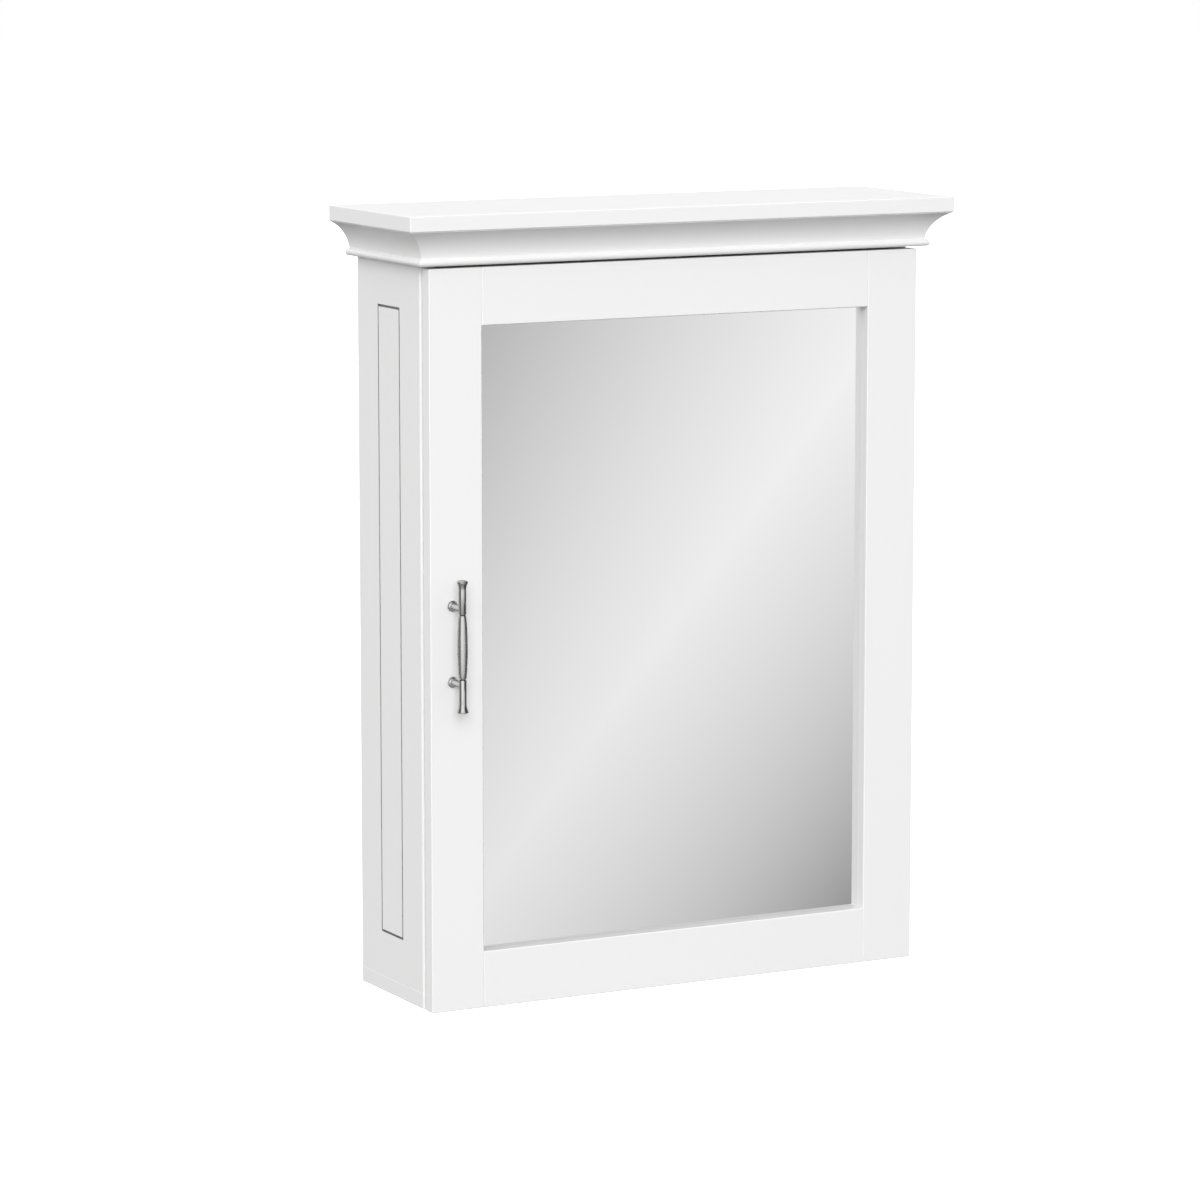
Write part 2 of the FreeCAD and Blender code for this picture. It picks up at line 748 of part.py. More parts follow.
def catch_parts(holes):
    """Housing, magnet and the two steel pole plates that reach the strike plate."""
    pole_front = strike_face + catch_gap
    front = pole_front + pole_proud
    back = carcass_front + catch_front_setback + catch_depth
    inner_face = -inner_half + catch_width
    half = catch_length / 2
    housing = block((-inner_half, front, catch_height - half), (inner_face, back, catch_height + half))
    housing = eased(housing, edge_round, (("x", inner_face), ("y", front)))
    low_z = catch_height - magnet_length / 2
    high_z = catch_height + magnet_length / 2
    magnet_back = front + (back - front) * magnet_share_of_depth
    outside = magnet_width / 2
    inside = outside - pole_plate_thickness
    magnet = block((catch_x - inside, front, low_z), (catch_x + inside, magnet_back, high_z))
    plates = [block((x, pole_front, low_z), (x + pole_plate_thickness, magnet_back, high_z))
              for x in (catch_x - outside, catch_x + inside)]
    pocket = block((catch_x - outside, pole_front, low_z), (catch_x + outside, magnet_back, high_z))
    return single(cut_all(housing, [pocket] + holes)), magnet, plates


def bumpers():
    """Clear pads on the left side's front edge, where the door comes to rest."""
    length = door_gap - bumper_clearance
    return [rod((-half_width + carcass_board / 2, carcass_front, z), -Y_AXIS, bumper_radius, length)
            for z in (bumper_end_margin, door_height - bumper_end_margin)]


# ================================================================ build
def build_carcass():
    dowels, bolts, housings, joint_holes, cam_holes = carcass_joints()
    nail_holes = back_nails(screw_clearance)
    into_cap = cap_screws()
    to_cap = into_cap.holes()
    leaf_screws = hinge_screws(True)
    on_catch = catch_screws()
    save("left_side_panel", side_panel(-1, joint_holes + cam_holes + nail_holes + on_catch.holes()))
    save("right_side_panel", side_panel(1, joint_holes + cam_holes + nail_holes + leaf_screws.holes()))
    save("bottom_board", flat_board(0.0, carcass_front, joint_holes + nail_holes, True))
    save("top_board", flat_board(cornice_bottom, crown_front, joint_holes + nail_holes + to_cap, False))
    in_rebate = back_rebate - back_clearance
    panel = block((-inner_half - in_rebate, -back_thickness, carcass_board - in_rebate),
                  (inner_half + in_rebate, 0, cornice_bottom + in_rebate))
    save("back_panel", single(cut_all(panel, nail_holes + wall_holes())))
    save("back_panel_nails", *back_nails())
    rail = block((-inner_half, -back_thickness - rail_thickness, cornice_bottom - rail_height),
                 (inner_half, -back_thickness, cornice_bottom))
    save("hanging_rail", single(cut_all(rail, joint_holes + wall_holes())))
    save("carcass_dowels", *dowels)
    save("cam_bolts", *bolts)
    save("cam_locks", *housings)

    cap = block((-cap_half, cap_front, cap_bottom), (cap_half, 0, cap_top))
    save("cap_board", single(cut_all(cap.makeFillet(cap_round, cap.Edges), to_cap)))
    for name, strip in zip(("front", "back", "left", "right"), cleats()):
        save(f"cap_cleat_{name}", single(cut_all(strip, to_cap)))
    save("cap_screws", *into_cap.solids())
    for name, length in zip(("front", "left", "right"), cornice_lengths()):
        save(f"cornice_{name}", length)

    save("lower_shelf", shelf(lower_shelf_height))
    save("upper_shelf", shelf(upper_shelf_height))
    save("shelf_pins", *shelf_pins())

    for name, centre in hinge_centres():
        save(f"{name}_hinge_carcass_leaf", hinge_leaf(centre, True, leaf_screws.holes()))
        save(f"{name}_hinge_pin", hinge_pin(centre))
    save("hinge_screws_carcass", *leaf_screws.solids())

    housing, magnet, plates = catch_parts(on_catch.holes())
    save("catch_housing", housing)
    save("catch_magnet", magnet)
    save("catch_pole_plates", *plates)
    save("catch_screws", *on_catch.solids())
    save("door_bumpers", *bumpers())


def build_door():
    leaf_screws = hinge_screws(False)
    corner_holes = door_dowels(dowel_clearance)
    board_screws = backing_screws()
    strike_fixing = strike_screw()
    posts = [handle_post(sign) for sign in (1, -1)]
    handle_holes = [handle_screw(height, screw_clearance) for _, height in posts]
    frame_holes = corner_holes + board_screws.holes()
    save("door_left_stile", door_stile(-1, frame_holes + handle_holes + strike_fixing.holes()))
    save("door_right_stile", door_stile(1, frame_holes + leaf_screws.holes()))
    save("door_bottom_rail", door_rail(0, frame_holes))
    save("door_top_rail", door_rail(door_height - rail_width, frame_holes))
    save("door_dowels", *door_dowels())

    reach = mirror_rebate - mirror_clearance
    save("mirror_glass", block((-opening_half - reach, door_back - mirror_thickness, rail_width - reach),
                               (opening_half + reach, door_back, door_height - rail_width + reach)))
    reach = mirror_rebate + backing_landing
    backing = block((-opening_half - reach, door_back, rail_width - reach),
                    (opening_half + reach, door_back + backing_thickness, door_height - rail_width + reach))
    save("mirror_backing", single(cut_all(backing, board_screws.holes())))
    save("backing_screws", *board_screws.solids())

    save("handle_grip", handle_grip())
    save("handle_upper_tube", handle_tube(1))
    save("handle_lower_tube", handle_tube(-1))
    ring_start = grip_length / 2
    rings = [rod((handle_x, handle_y, handle_centre_height + sign * ring_start), Z_AXIS * sign,
                 neck_ring_radius, neck_ring_thickness) for sign in (1, -1)]
    save("handle_neck_rings", *rings)
    for name, (post, _) in zip(("upper", "lower"), posts):
        save(f"handle_{name}_post", single(cut_all(post, handle_holes)))
    screws = []
    for _, height in posts:
        top = (handle_x, door_back + handle_head_height, height)
        slot = cross_recess(top, -Y_AXIS, handle_head_radius)
        screws.append(single(handle_screw(height).cut(slot)))
    save("handle_screws", *screws)

    for name, centre in hinge_centres():
        save(f"{name}_hinge_door_leaf", hinge_leaf(centre, False, leaf_screws.holes()))
    save("hinge_screws_door", *leaf_screws.solids())

    half_x, half_z = strike_width / 2, strike_length / 2
    plate = block((catch_x - half_x, door_back, catch_height - half_z),
                  (catch_x + half_x, strike_face, catch_height + half_z))
    save("strike_plate", single(cut_all(plate, strike_fixing.holes())))
    save("strike_screw", *strike_fixing.solids())


os.makedirs("parts", exist_ok=True)
build_carcass()
build_door()
overall_depth = flare_radius - handle_y
print(f"overall {2 * cap_half:.1f} wide, {cap_top:.1f} high, {overall_depth:.1f} deep with the handle")
print(f"wall screws {screw_line:.1f} above the underside")
print(f"hinge axis at x {hinge_axis_x:.2f}, y {hinge_axis_y:.2f}")
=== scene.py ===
import math

import bmesh
import bpy
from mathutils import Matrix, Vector


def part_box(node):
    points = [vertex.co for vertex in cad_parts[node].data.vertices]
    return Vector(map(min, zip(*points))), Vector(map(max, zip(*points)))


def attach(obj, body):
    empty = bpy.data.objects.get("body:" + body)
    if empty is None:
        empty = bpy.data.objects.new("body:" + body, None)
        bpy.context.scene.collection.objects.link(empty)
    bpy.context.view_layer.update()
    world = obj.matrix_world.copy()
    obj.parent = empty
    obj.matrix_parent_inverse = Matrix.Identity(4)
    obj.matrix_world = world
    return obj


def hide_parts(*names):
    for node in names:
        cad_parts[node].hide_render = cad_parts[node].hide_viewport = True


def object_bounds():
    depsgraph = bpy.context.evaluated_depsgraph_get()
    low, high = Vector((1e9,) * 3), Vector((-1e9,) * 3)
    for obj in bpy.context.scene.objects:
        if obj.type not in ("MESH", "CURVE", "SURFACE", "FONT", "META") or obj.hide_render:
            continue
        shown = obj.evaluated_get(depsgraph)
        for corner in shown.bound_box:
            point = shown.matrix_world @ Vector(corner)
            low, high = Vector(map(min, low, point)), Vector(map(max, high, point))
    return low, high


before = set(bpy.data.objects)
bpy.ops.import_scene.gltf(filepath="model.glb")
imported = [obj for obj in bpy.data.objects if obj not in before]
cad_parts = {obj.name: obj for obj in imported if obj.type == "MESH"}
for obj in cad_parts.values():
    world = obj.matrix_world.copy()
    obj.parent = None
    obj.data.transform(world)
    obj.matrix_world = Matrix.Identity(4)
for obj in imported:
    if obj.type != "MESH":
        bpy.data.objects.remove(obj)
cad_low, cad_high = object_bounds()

bl_info = {
    "name": "Hanging wall cabinet",
    "version": (1, 0, 0),
    "blender": (4, 5, 0),
    "location": "3D View > Sidebar > Cabinet",
    "description": "Builds the finish, cornice, handle and small fittings of a mirrored wall cabinet",
    "category": "Object",
}

MM = 0.001
X, Y, Z = Vector((1, 0, 0)), Vector((0, 1, 0)), Vector((0, 0, 1))
HANDLE_TUBE = 3.6 * MM
EDGE_TINT = (0.1, 0.1, 0.1, 1.0)
PINE_RING, BEECH_RING = 9.0 * MM, 4.0 * MM

SIDES = ("left_side_panel", "right_side_panel")
BOARDS = ("bottom_board", "top_board", "cap_board", "lower_shelf", "upper_shelf")
DOOR_FRAME = ("door_left_stile", "door_right_stile", "door_top_rail", "door_bottom_rail")
CLEATS_ALONG = ("hanging_rail", "cap_cleat_front", "cap_cleat_back")
CLEATS_ACROSS = ("cap_cleat_left", "cap_cleat_right")
# Softboxes: name, degrees right of straight ahead, degrees up, metres away, metres wide and high, watts
SOFTBOXES = (("front_softbox", -25.0, 22.0, 14.0, 7.5, 7.5, 1310.0),
             ("left_softbox", -80.0, 12.0, 12.0, 6.2, 7.2, 310.0))
# Cards that only shiny surfaces see: name, colour, and its strength at each bearing and each height
EVEN_UP = ((-50.0, 1.0), (85.0, 1.0))
FRONT_ACROSS = ((-64.0, 1.0), (-24.0, 1.0), (-8.0, 0.74), (4.0, 0.86), (18.0, 0.66))
FRONT_UP = ((-50.0, 0.28), (-30.0, 0.38), (-19.0, 0.60), (-12.0, 0.88), (-2.0, 1.0), (30.0, 1.0), (50.0, 0.6),
            (85.0, 0.35))
CARDS = (("left_flag", (0.16, 0.166, 0.132), ((-140.0, 1.0), (-65.0, 1.0)), EVEN_UP),
         ("front_card", (1.0, 1.0, 1.0), FRONT_ACROSS, FRONT_UP),
         ("right_flag", (0.06, 0.065, 0.068), ((19.0, 1.0), (110.0, 1.0)), EVEN_UP))


# ======================== sizes and colours a user can change
class CabinetPaint(bpy.types.PropertyGroup):
    lacquer: bpy.props.FloatVectorProperty(
        name="Lacquer", description="White of the painted boards and the door", subtype="COLOR", size=3,
        min=0, max=1, default=(0.78, 0.78, 0.778))
    lacquer_roughness: bpy.props.FloatProperty(
        name="Lacquer roughness", description="How matt the lacquer is", subtype="FACTOR", min=0, max=1,
        default=0.36)
    pine: bpy.props.FloatVectorProperty(
        name="Pine", description="Bare pine of the rail and cleats", subtype="COLOR", size=3, min=0, max=1,
        default=(0.62, 0.42, 0.22))
    hardboard: bpy.props.FloatVectorProperty(
        name="Hardboard", description="Bare face of the thin boards", subtype="COLOR", size=3, min=0, max=1,
        default=(0.20, 0.115, 0.06))


class CabinetHandle(bpy.types.PropertyGroup):
    turns: bpy.props.IntProperty(
        name="Facets round", description="How many faces go round each turned piece", min=24, max=192,
        default=96)
    flare_curve: bpy.props.FloatProperty(
        name="Flare curve", description="How late the tube's end opens out", min=1, max=5, default=2.4)
    grip_curve: bpy.props.FloatProperty(
        name="Grip curve", description="How full the swollen grip is", min=0.4, max=2, default=0.55)
    chrome: bpy.props.FloatVectorProperty(
        name="Chrome", description="Colour of the polished plating", subtype="COLOR", size=3, min=0, max=1,
        default=(0.80, 0.81, 0.80))
    satin_roughness: bpy.props.FloatProperty(
        name="Grip roughness", description="How matt the satin grip is", subtype="FACTOR", min=0, max=1,
        default=0.22)


class CabinetStage(bpy.types.PropertyGroup):
    camera_place: bpy.props.FloatVectorProperty(
        name="Camera place", description="Where the camera stands, from the wall screws",
        subtype="TRANSLATION", unit="LENGTH", size=3, default=(-2.290, -4.350, 0.414))
    camera_turn: bpy.props.FloatProperty(
        name="Camera turn", description="How far the camera looks to the right of straight at the wall",
        subtype="ANGLE", default=math.radians(27.74))
    camera_dip: bpy.props.FloatProperty(
        name="Camera dip", description="How far the camera looks down", subtype="ANGLE",
        default=math.radians(8.60))
    lens: bpy.props.FloatProperty(
        name="Lens", description="Focal length on a 36 mm frame", unit="CAMERA", min=10, max=400,
        default=147.5)
    floor_drop: bpy.props.FloatProperty(
        name="Floor drop", description="How far the floor lies under the cabinet", unit="LENGTH", min=0,
        default=1.25)
    sky: bpy.props.FloatProperty(
        name="Sky light", description="Brightness of the soft light from above", min=0, default=0.99)
    ground: bpy.props.FloatProperty(
        name="Ground light", description="Brightness of the soft light from below", min=0, default=0.28)
    card_distance: bpy.props.FloatProperty(
        name="Card distance", description="How far before the mirror its reflected card stands",
        unit="LENGTH", min=0.5, default=3.0)
    flag_distance: bpy.props.FloatProperty(
        name="Flag distance", description="How far off the cards stand that shiny surfaces see",
        unit="LENGTH", min=1.0, default=6.0)
    mirror_return: bpy.props.FloatProperty(
        name="Mirror return", description="Share of light the mirror gives back", subtype="FACTOR",
        min=0.1, max=1, default=0.965)
    softbox_power: bpy.props.FloatProperty(
        name="Softboxes", description="Strength of all the softboxes together", min=0, default=1.0)


def paint():
    return bpy.context.scene.cabinet_paint


def handle():
    return bpy.context.scene.cabinet_handle


def stage():
    return bpy.context.scene.cabinet_stage


# ======================== shader writing
class Value:
    """A number socket that takes part in Python sums."""

    def __init__(self, maker, socket):
        self.maker = maker
        self.socket = socket

    def math(self, operation, *terms):
        numbered = {str(i): term for i, term in enumerate(terms)}
        made = self.maker.add("ShaderNodeMath", {"operation": operation}, **numbered)
        return Value(self.maker, made.outputs[0])

    def __add__(self, other):
        return self.math("ADD", self, other)

    def __sub__(self, other):
        return self.math("SUBTRACT", self, other)

    def __rsub__(self, other):
        return self.math("SUBTRACT", other, self)

    def __mul__(self, other):
        return self.math("MULTIPLY", self, other)

    def __gt__(self, other):
        return self.math("GREATER_THAN", self, other)

    def __pow__(self, other):
        return self.math("POWER", self, other)

    __radd__ = __add__
    __rmul__ = __mul__

    def clamped(self):
        made = self.math("ADD", self, 0.0)
        made.socket.node.use_clamp = True
        return made


class Maker:
    """Writes one node tree."""

    def __init__(self, tree):
        self.tree = tree

    def add(self, kind, settings=None, **values):
        """A node, its settings first, then the values or links of its sockets, named or counted."""
        node = self.tree.nodes.new(kind)
        for name, value in (settings or {}).items():
            if name == "stops":
                ramp = node.color_ramp
                while len(ramp.elements) < len(value):
                    ramp.elements.new(0.5)
                for element, (place, colour) in zip(ramp.elements, value):
                    element.position = place
                    element.color = (*colour, 1.0) if len(colour) == 3 else colour
            else:
                setattr(node, name, value)
        for name, value in values.items():
            socket = node.inputs[int(name)] if name.isdigit() else node.inputs[name.replace("_", " ")]
            if isinstance(value, Value):
                value = value.socket
            if isinstance(value, bpy.types.NodeSocket):
                self.tree.links.new(value, socket)
            elif hasattr(socket.default_value, "__len__") and len(value) < len(socket.default_value):
                socket.default_value = (*value, 1.0)
            else:
                socket.default_value = value
        return node

    def place(self, stretch=(1, 1, 1)):
        """The piece's own coordinates, stretched along each axis."""
        own = self.add("ShaderNodeTexCoord").outputs["Object"]
        made = self.add("ShaderNodeVectorMath", {"operation": "MULTIPLY"}, **{"0": own, "1": stretch})
        return made.outputs[0]

    def axis(self, name, vector=None):
        """One coordinate of a vector, or of the piece's own coordinates."""
        vector = vector or self.add("ShaderNodeTexCoord").outputs["Object"]
        return Value(self, self.add("ShaderNodeSeparateXYZ", Vector=vector).outputs[name])

    def noise(self, scale, stretch=(1, 1, 1), detail=3.0, rough=0.5, distortion=0.0):
        """Cloudy noise between 0 and 1, with scale in features a metre."""
        made = self.add("ShaderNodeTexNoise", None, Vector=self.place(stretch), Scale=scale, Detail=detail,
                        Roughness=rough, Distortion=distortion)
        return Value(self, made.outputs[0])

    def mix(self, factor, first, second):
        """A colour between two colours."""
        made = self.add("ShaderNodeMix", {"data_type": "RGBA"}, **{"0": factor, "6": first, "7": second})
        return made.outputs[2]

    def ramp(self, factor, stops):
        return self.add("ShaderNodeValToRGB", {"stops": stops}, **{"0": factor}).outputs["Color"]

    def bump(self, height, strength, distance):
        made = self.add("ShaderNodeBump", None, Height=height, Strength=strength, Distance=distance)
        return made.outputs["Normal"]


def material(name, **principled):
    """A new material's maker and its Principled shader, whose constant values are set on its sockets."""
    made = bpy.data.materials.new(name)
    made.use_nodes = True
    made.node_tree.nodes.clear()
    maker = Maker(made.node_tree)
    shader = maker.add("ShaderNodeBsdfPrincipled", None, **principled)
    maker.add("ShaderNodeOutputMaterial", None, Surface=shader.outputs["BSDF"])

    def varies(**links):
        for socket, value in links.items():
            source = value.socket if isinstance(value, Value) else value
            made.node_tree.links.new(source, shader.inputs[socket.replace("_", " ")])
        return made

    return maker, varies


def shade(colour, factor):
    """A colour made lighter or darker."""
    return tuple(min(1.0, c * factor) for c in colour)


# ======================== finishes
def lacquer_parts(name, seed):
    """Maker, setter, colour, roughness and bump of sprayed white lacquer."""
    base = tuple(paint().lacquer)
    maker, varies = material(name, IOR=1.48)
    clouds = maker.noise(2.3, (1, 1, 0.6), detail=2.0, distortion=seed)
    speck = maker.noise(140.0, detail=4.0)
    peel = maker.noise(620.0, detail=2.0, rough=0.4)
    tone = (clouds * 0.7 + speck * 0.3).clamped()
    colour = maker.mix(tone, shade(base, 0.985), shade(base, 1.012))
    rough = paint().lacquer_roughness - 0.05 + clouds * 0.07 + speck * 0.03
    return maker, varies, colour, rough, maker.bump(peel + speck * 0.3, 0.10, 0.00006)


def white_lacquer(name, seed):
    """Sprayed white lacquer: a breath of orange peel, with soft clouds of sheen."""
    maker, varies, colour, rough, normal = lacquer_parts(name, seed)
    return varies(Base_Color=colour, Roughness=rough, Normal=normal)


def routed_lacquer():
    """The lacquer of the sides, with painted shade: inside the groove of the routed rectangle its colour is
    painted dark, standing in for the groove's shadow.
    """
    low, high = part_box("right_side_panel")
    depth, unshaded_lip, spare = 3.0 * MM, 0.35 * MM, 0.4 * MM
    margin, foot_margin = 46.0 * MM, 44.0 * MM
    shadow = 0.34
    maker, varies, tone, rough, normal = lacquer_parts("routed_lacquer", 0.2)
    out, deep, tall = (maker.axis(name) for name in "XYZ")
    reach = out.math("ABSOLUTE", out)
    in_groove_depth = (reach > high.x - depth - 0.1 * MM) * (1.0 - (reach > high.x - unshaded_lip))
    in_depth = (deep > low.y + margin - spare) * (1.0 - (deep > high.y - margin + spare))
    in_height = (tall > low.z + foot_margin - spare) * (1.0 - (tall > high.z - foot_margin + spare))
    # Painted shade: from just under the face down to the groove's floor, the colour is the lacquer darkened
    # to 0.34, in place of the shadow in the groove.
    painted_groove_shade = shade(tuple(paint().lacquer), shadow)
    return varies(Base_Color=maker.mix(in_groove_depth * in_depth * in_height, tone, painted_groove_shade), Roughness=rough,
                  Normal=normal)


def back_hardboard():
    """Hardboard painted white on the inner face and bare, with its fibres, on the outer."""
    bare, white = tuple(paint().hardboard), tuple(paint().lacquer)
    low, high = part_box("back_panel")
    maker, varies = material("back_hardboard")
    fibres = maker.noise(260.0, (1, 1, 0.35), detail=6.0, rough=0.7)
    blotches = maker.noise(9.0, detail=4.0)
    brown = maker.mix((fibres * 0.75 + blotches * 0.35).clamped(), shade(bare, 0.62), shade(bare, 1.75))
    inner = shade(white, 0.96)
    painted = maker.mix(blotches, shade(inner, 0.97), inner)
    outside = maker.axis("Y") > (low.y * 0.9 + high.y * 0.1)
    return varies(Base_Color=maker.mix(outside, painted, brown),
                  Roughness=0.42 + outside * 0.28 + fibres * 0.08,
                  Normal=maker.bump(fibres, 0.22, 0.00025))


def brown_hardboard():
    """Bare hardboard with a smooth face and short fibres."""
    bare = tuple(paint().hardboard)
    maker, varies = material("brown_hardboard")
    fibres = maker.noise(240.0, (0.4, 1, 1), detail=6.0, rough=0.7)
    blotches = maker.noise(11.0, detail=4.0)
    return varies(Base_Color=maker.mix((fibres * 0.7 + blotches * 0.35).clamped(), shade(bare, 0.65),
                                       shade(bare, 1.7)),
                  Roughness=0.55 + fibres * 0.2,
                  Normal=maker.bump(fibres, 0.25, 0.0002))


def bare_wood(name, colour, along, ring_width):
    """Planed wood with its grain along one axis."""
    maker, varies = material(name)
    slow, quick = 0.06, 1.0
    stretch = tuple(slow if axis == along else quick for axis in "XYZ")
    wander = maker.noise(16.0, stretch, detail=3.0)
    across = maker.axis({"X": "Z", "Y": "Z", "Z": "X"}[along])
    phase = across * (2 * math.pi / ring_width) + wander * 9.0
    rings = phase.math("SINE", phase) * 0.5 + 0.5
    pores = maker.noise(900.0, stretch, detail=3.0, rough=0.6)
    late = (rings ** 2.2 * 0.75 + pores * 0.25).clamped()
    return varies(Base_Color=maker.mix(late, shade(colour, 1.08), shade(colour, 0.82)),
                  Roughness=0.52 + pores * 0.16,
                  Normal=maker.bump(pores * 0.6 + late * 0.4, 0.2, 0.00015))


def silvered_glass():
    """Silvered glass with a faint uneven clean, and grey sealing paint on its back."""
    low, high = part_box("mirror_glass")
    maker, varies = material("silvered_glass", IOR=1.52)
    smear = maker.noise(7.0, (1, 1, 0.5), detail=5.0, rough=0.6)
    behind = maker.axis("Y") > (low.y + high.y) / 2
    return varies(Base_Color=maker.mix(behind, (0.94, 0.94, 0.94), (0.20, 0.21, 0.22)),
                  Metallic=1.0 - behind,
                  Roughness=0.004 + (smear ** 3.0) * 0.02 + behind * 0.55)


def polished_chrome():
    """Bright plating with the faintest polishing haze."""
    maker, varies = material("polished_chrome", Metallic=1.0, Specular_Tint=EDGE_TINT)
    haze = maker.noise(320.0, (1, 1, 0.25), detail=4.0)
    colour = tuple(handle().chrome)
    return varies(Base_Color=maker.mix(haze, shade(colour, 0.96), shade(colour, 1.04)),
                  Roughness=0.035 + haze * 0.05)


def satin_steel():
    """A grip turned satin: fine rings round it, and a soft even sheen."""
    maker, varies = material("satin_steel", Metallic=1.0, Specular_Tint=EDGE_TINT)
    turning = maker.noise(45.0, (1, 1, 90.0), detail=3.0, rough=0.7)
    sheen = maker.noise(60.0, detail=2.0)
    return varies(Base_Color=maker.mix(turning, (0.76, 0.76, 0.75), (0.88, 0.88, 0.87)),
                  Roughness=handle().satin_roughness + turning * 0.08 + sheen * 0.04,
                  Normal=maker.bump(turning, 0.12, 0.00004))


def plated(name, colour, roughness, grain, blotch=0.12):
    """Plated steel with a slightly cloudy surface."""
    maker, varies = material(name, Metallic=1.0)
    cloud = maker.noise(grain, detail=4.0, rough=0.6)
    fine = maker.noise(grain * 9, detail=3.0)
    return varies(Base_Color=maker.mix(cloud, shade(colour, 1 - blotch), shade(colour, 1 + blotch)),
                  Roughness=roughness + cloud * 0.12 + fine * 0.05,
                  Normal=maker.bump(fine, 0.12, 0.00003))


def moulded(name, colour, roughness, **principled):
    """Moulded plastic, rubber or sintered magnet with a fine even texture."""
    maker, varies = material(name, **principled)
    texture = maker.noise(1500.0, detail=2.0)
    cloud = maker.noise(70.0, detail=2.0)
    return varies(Base_Color=maker.mix(cloud, shade(colour, 0.94), shade(colour, 1.05)),
                  Roughness=roughness + texture * 0.1,
                  Normal=maker.bump(texture, 0.15, 0.00003))


def dress(made, *names):
    """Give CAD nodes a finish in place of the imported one."""
    for name in names:
        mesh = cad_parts[name].data
        mesh.materials.clear()
        mesh.materials.append(made)


# ======================== meshes
def piece(name, mesh, made, body, slot, *replaced):
    """Put a finished mesh on its body in place of CAD nodes."""
    made_object = bpy.data.objects.new(name, mesh)
    bpy.context.scene.collection.objects.link(made_object)
    mesh.materials.clear()
    mesh.materials.append(made)
    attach(made_object, body)
    if replaced:
        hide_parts(*replaced)
    return made_object


def closed_mesh(name, points, faces, sharp_degrees=35.0):
    """A closed mesh with its faces outward, smooth except across sharp edges."""
    mesh = bpy.data.meshes.new(name)
    mesh.from_pydata([tuple(p) for p in points], [], faces)
    work = bmesh.new()
    work.from_mesh(mesh)
    bmesh.ops.recalc_face_normals(work, faces=work.faces)
    if work.calc_volume(signed=True) < 0:
        bmesh.ops.reverse_faces(work, faces=work.faces)
    work.to_mesh(mesh)
    work.free()
    mesh.shade_smooth()
    mesh.set_sharp_from_angle(angle=math.radians(sharp_degrees))
    return mesh


def turned(name, profile, base, along, turns, reach=None):
    """A piece turned on a lathe: (distance, radius) from one pole to the other; reach moves ring points."""
    along = Vector(along)
    side = X if abs(along.x) < 0.5 else Y
    other = along.cross(side)
    points, rings = [], []
    for place, (distance, radius) in enumerate(profile):
        if radius <= 0:
            points.append(base + along * distance)
            rings.append([len(points) - 1])
            continue
        ring = []
        for i in range(turns):
            angle = 2 * math.pi * i / turns
            offset = side * (radius * math.cos(angle)) + other * (radius * math.sin(angle))
            far = reach(place, distance, offset) if reach else distance
            points.append(base + along * far + offset)
            ring.append(len(points) - 1)
        rings.append(ring)
    faces = []
    for low, high in zip(rings, rings[1:]):
        for i in range(turns):
            j = (i + 1) % turns
            if len(low) == 1:
                faces.append((low[0], high[i], high[j]))
            elif len(high) == 1:
                faces.append((low[i], low[j], high[0]))
            else:
                faces.append((low[i], low[j], high[j], high[i]))
    return closed_mesh(name, points, faces)


def loft(name, first, last, sharp_degrees=35.0):
    """A closed bar between two outlines with the same number of points."""
    count = len(first)
    faces = [tuple(range(count)), tuple(range(2 * count - 1, count - 1, -1))]
    faces += [(i, (i + 1) % count, count + (i + 1) % count, count + i) for i in range(count)]
    return closed_mesh(name, list(first) + list(last), faces, sharp_degrees)


def arc(centre, radius, start, end, steps):
    """Points on an arc, with angles in degrees."""
    angles = [math.radians(start + (end - start) * i / steps) for i in range(steps + 1)]
    return [(centre[0] + radius * math.cos(a), centre[1] + radius * math.sin(a)) for a in angles]


def solids_of(name):
    """The (lowest, highest) corners of each separate solid in a CAD node."""
    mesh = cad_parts[name].data
    work = bmesh.new()
    work.from_mesh(mesh)
    bmesh.ops.remove_doubles(work, verts=work.verts, dist=1e-6)
    work.verts.ensure_lookup_table()
    seen, found = set(), []
    for start in work.verts:
        if start.index in seen:
            continue
        seen.add(start.index)
        queue, corners = [start], []
        while queue:
            vert = queue.pop()
            corners.append(vert.co.copy())
            for edge in vert.link_edges:
                other = edge.other_vert(vert)
                if other.index not in seen:
                    seen.add(other.index)
                    queue.append(other)
        low = Vector([min(c[i] for c in corners) for i in range(3)])
        high = Vector([max(c[i] for c in corners) for i in range(3)])
        found.append((low, high))
    work.free()
    return found


def eased(stops, place):
    """The value at a place between stops of (place, value), eased from each stop to the next."""
    for (start, first), (end, last) in zip(stops, stops[1:]):
        if place <= end:
            u = (place - start) / (end - start)
            return first + (last - first) * u * u * (3 - 2 * u)
    return stops[-1][1]


def face_centre(low, high, facing):
    """The middle of the side of a box that looks along facing, an axis."""
    half = (high - low) / 2
    return (low + high) / 2 + Vector([half[i] * facing[i] for i in range(3)])


def grid_faces(columns, rows):
    """The faces of a grid whose points run along each row in turn."""
    corners = [j * (columns + 1) + i for j in range(rows) for i in range(columns)]
    return [(c, c + 1, c + columns + 2, c + columns + 1) for c in corners]


def bearing_ray(bearing, height):
    """The direction at some degrees right of straight ahead and some degrees up."""
    a, e = math.radians(bearing), math.radians(height)
    return Vector((math.sin(a) * math.cos(e), -math.cos(a) * math.cos(e), math.sin(e)))


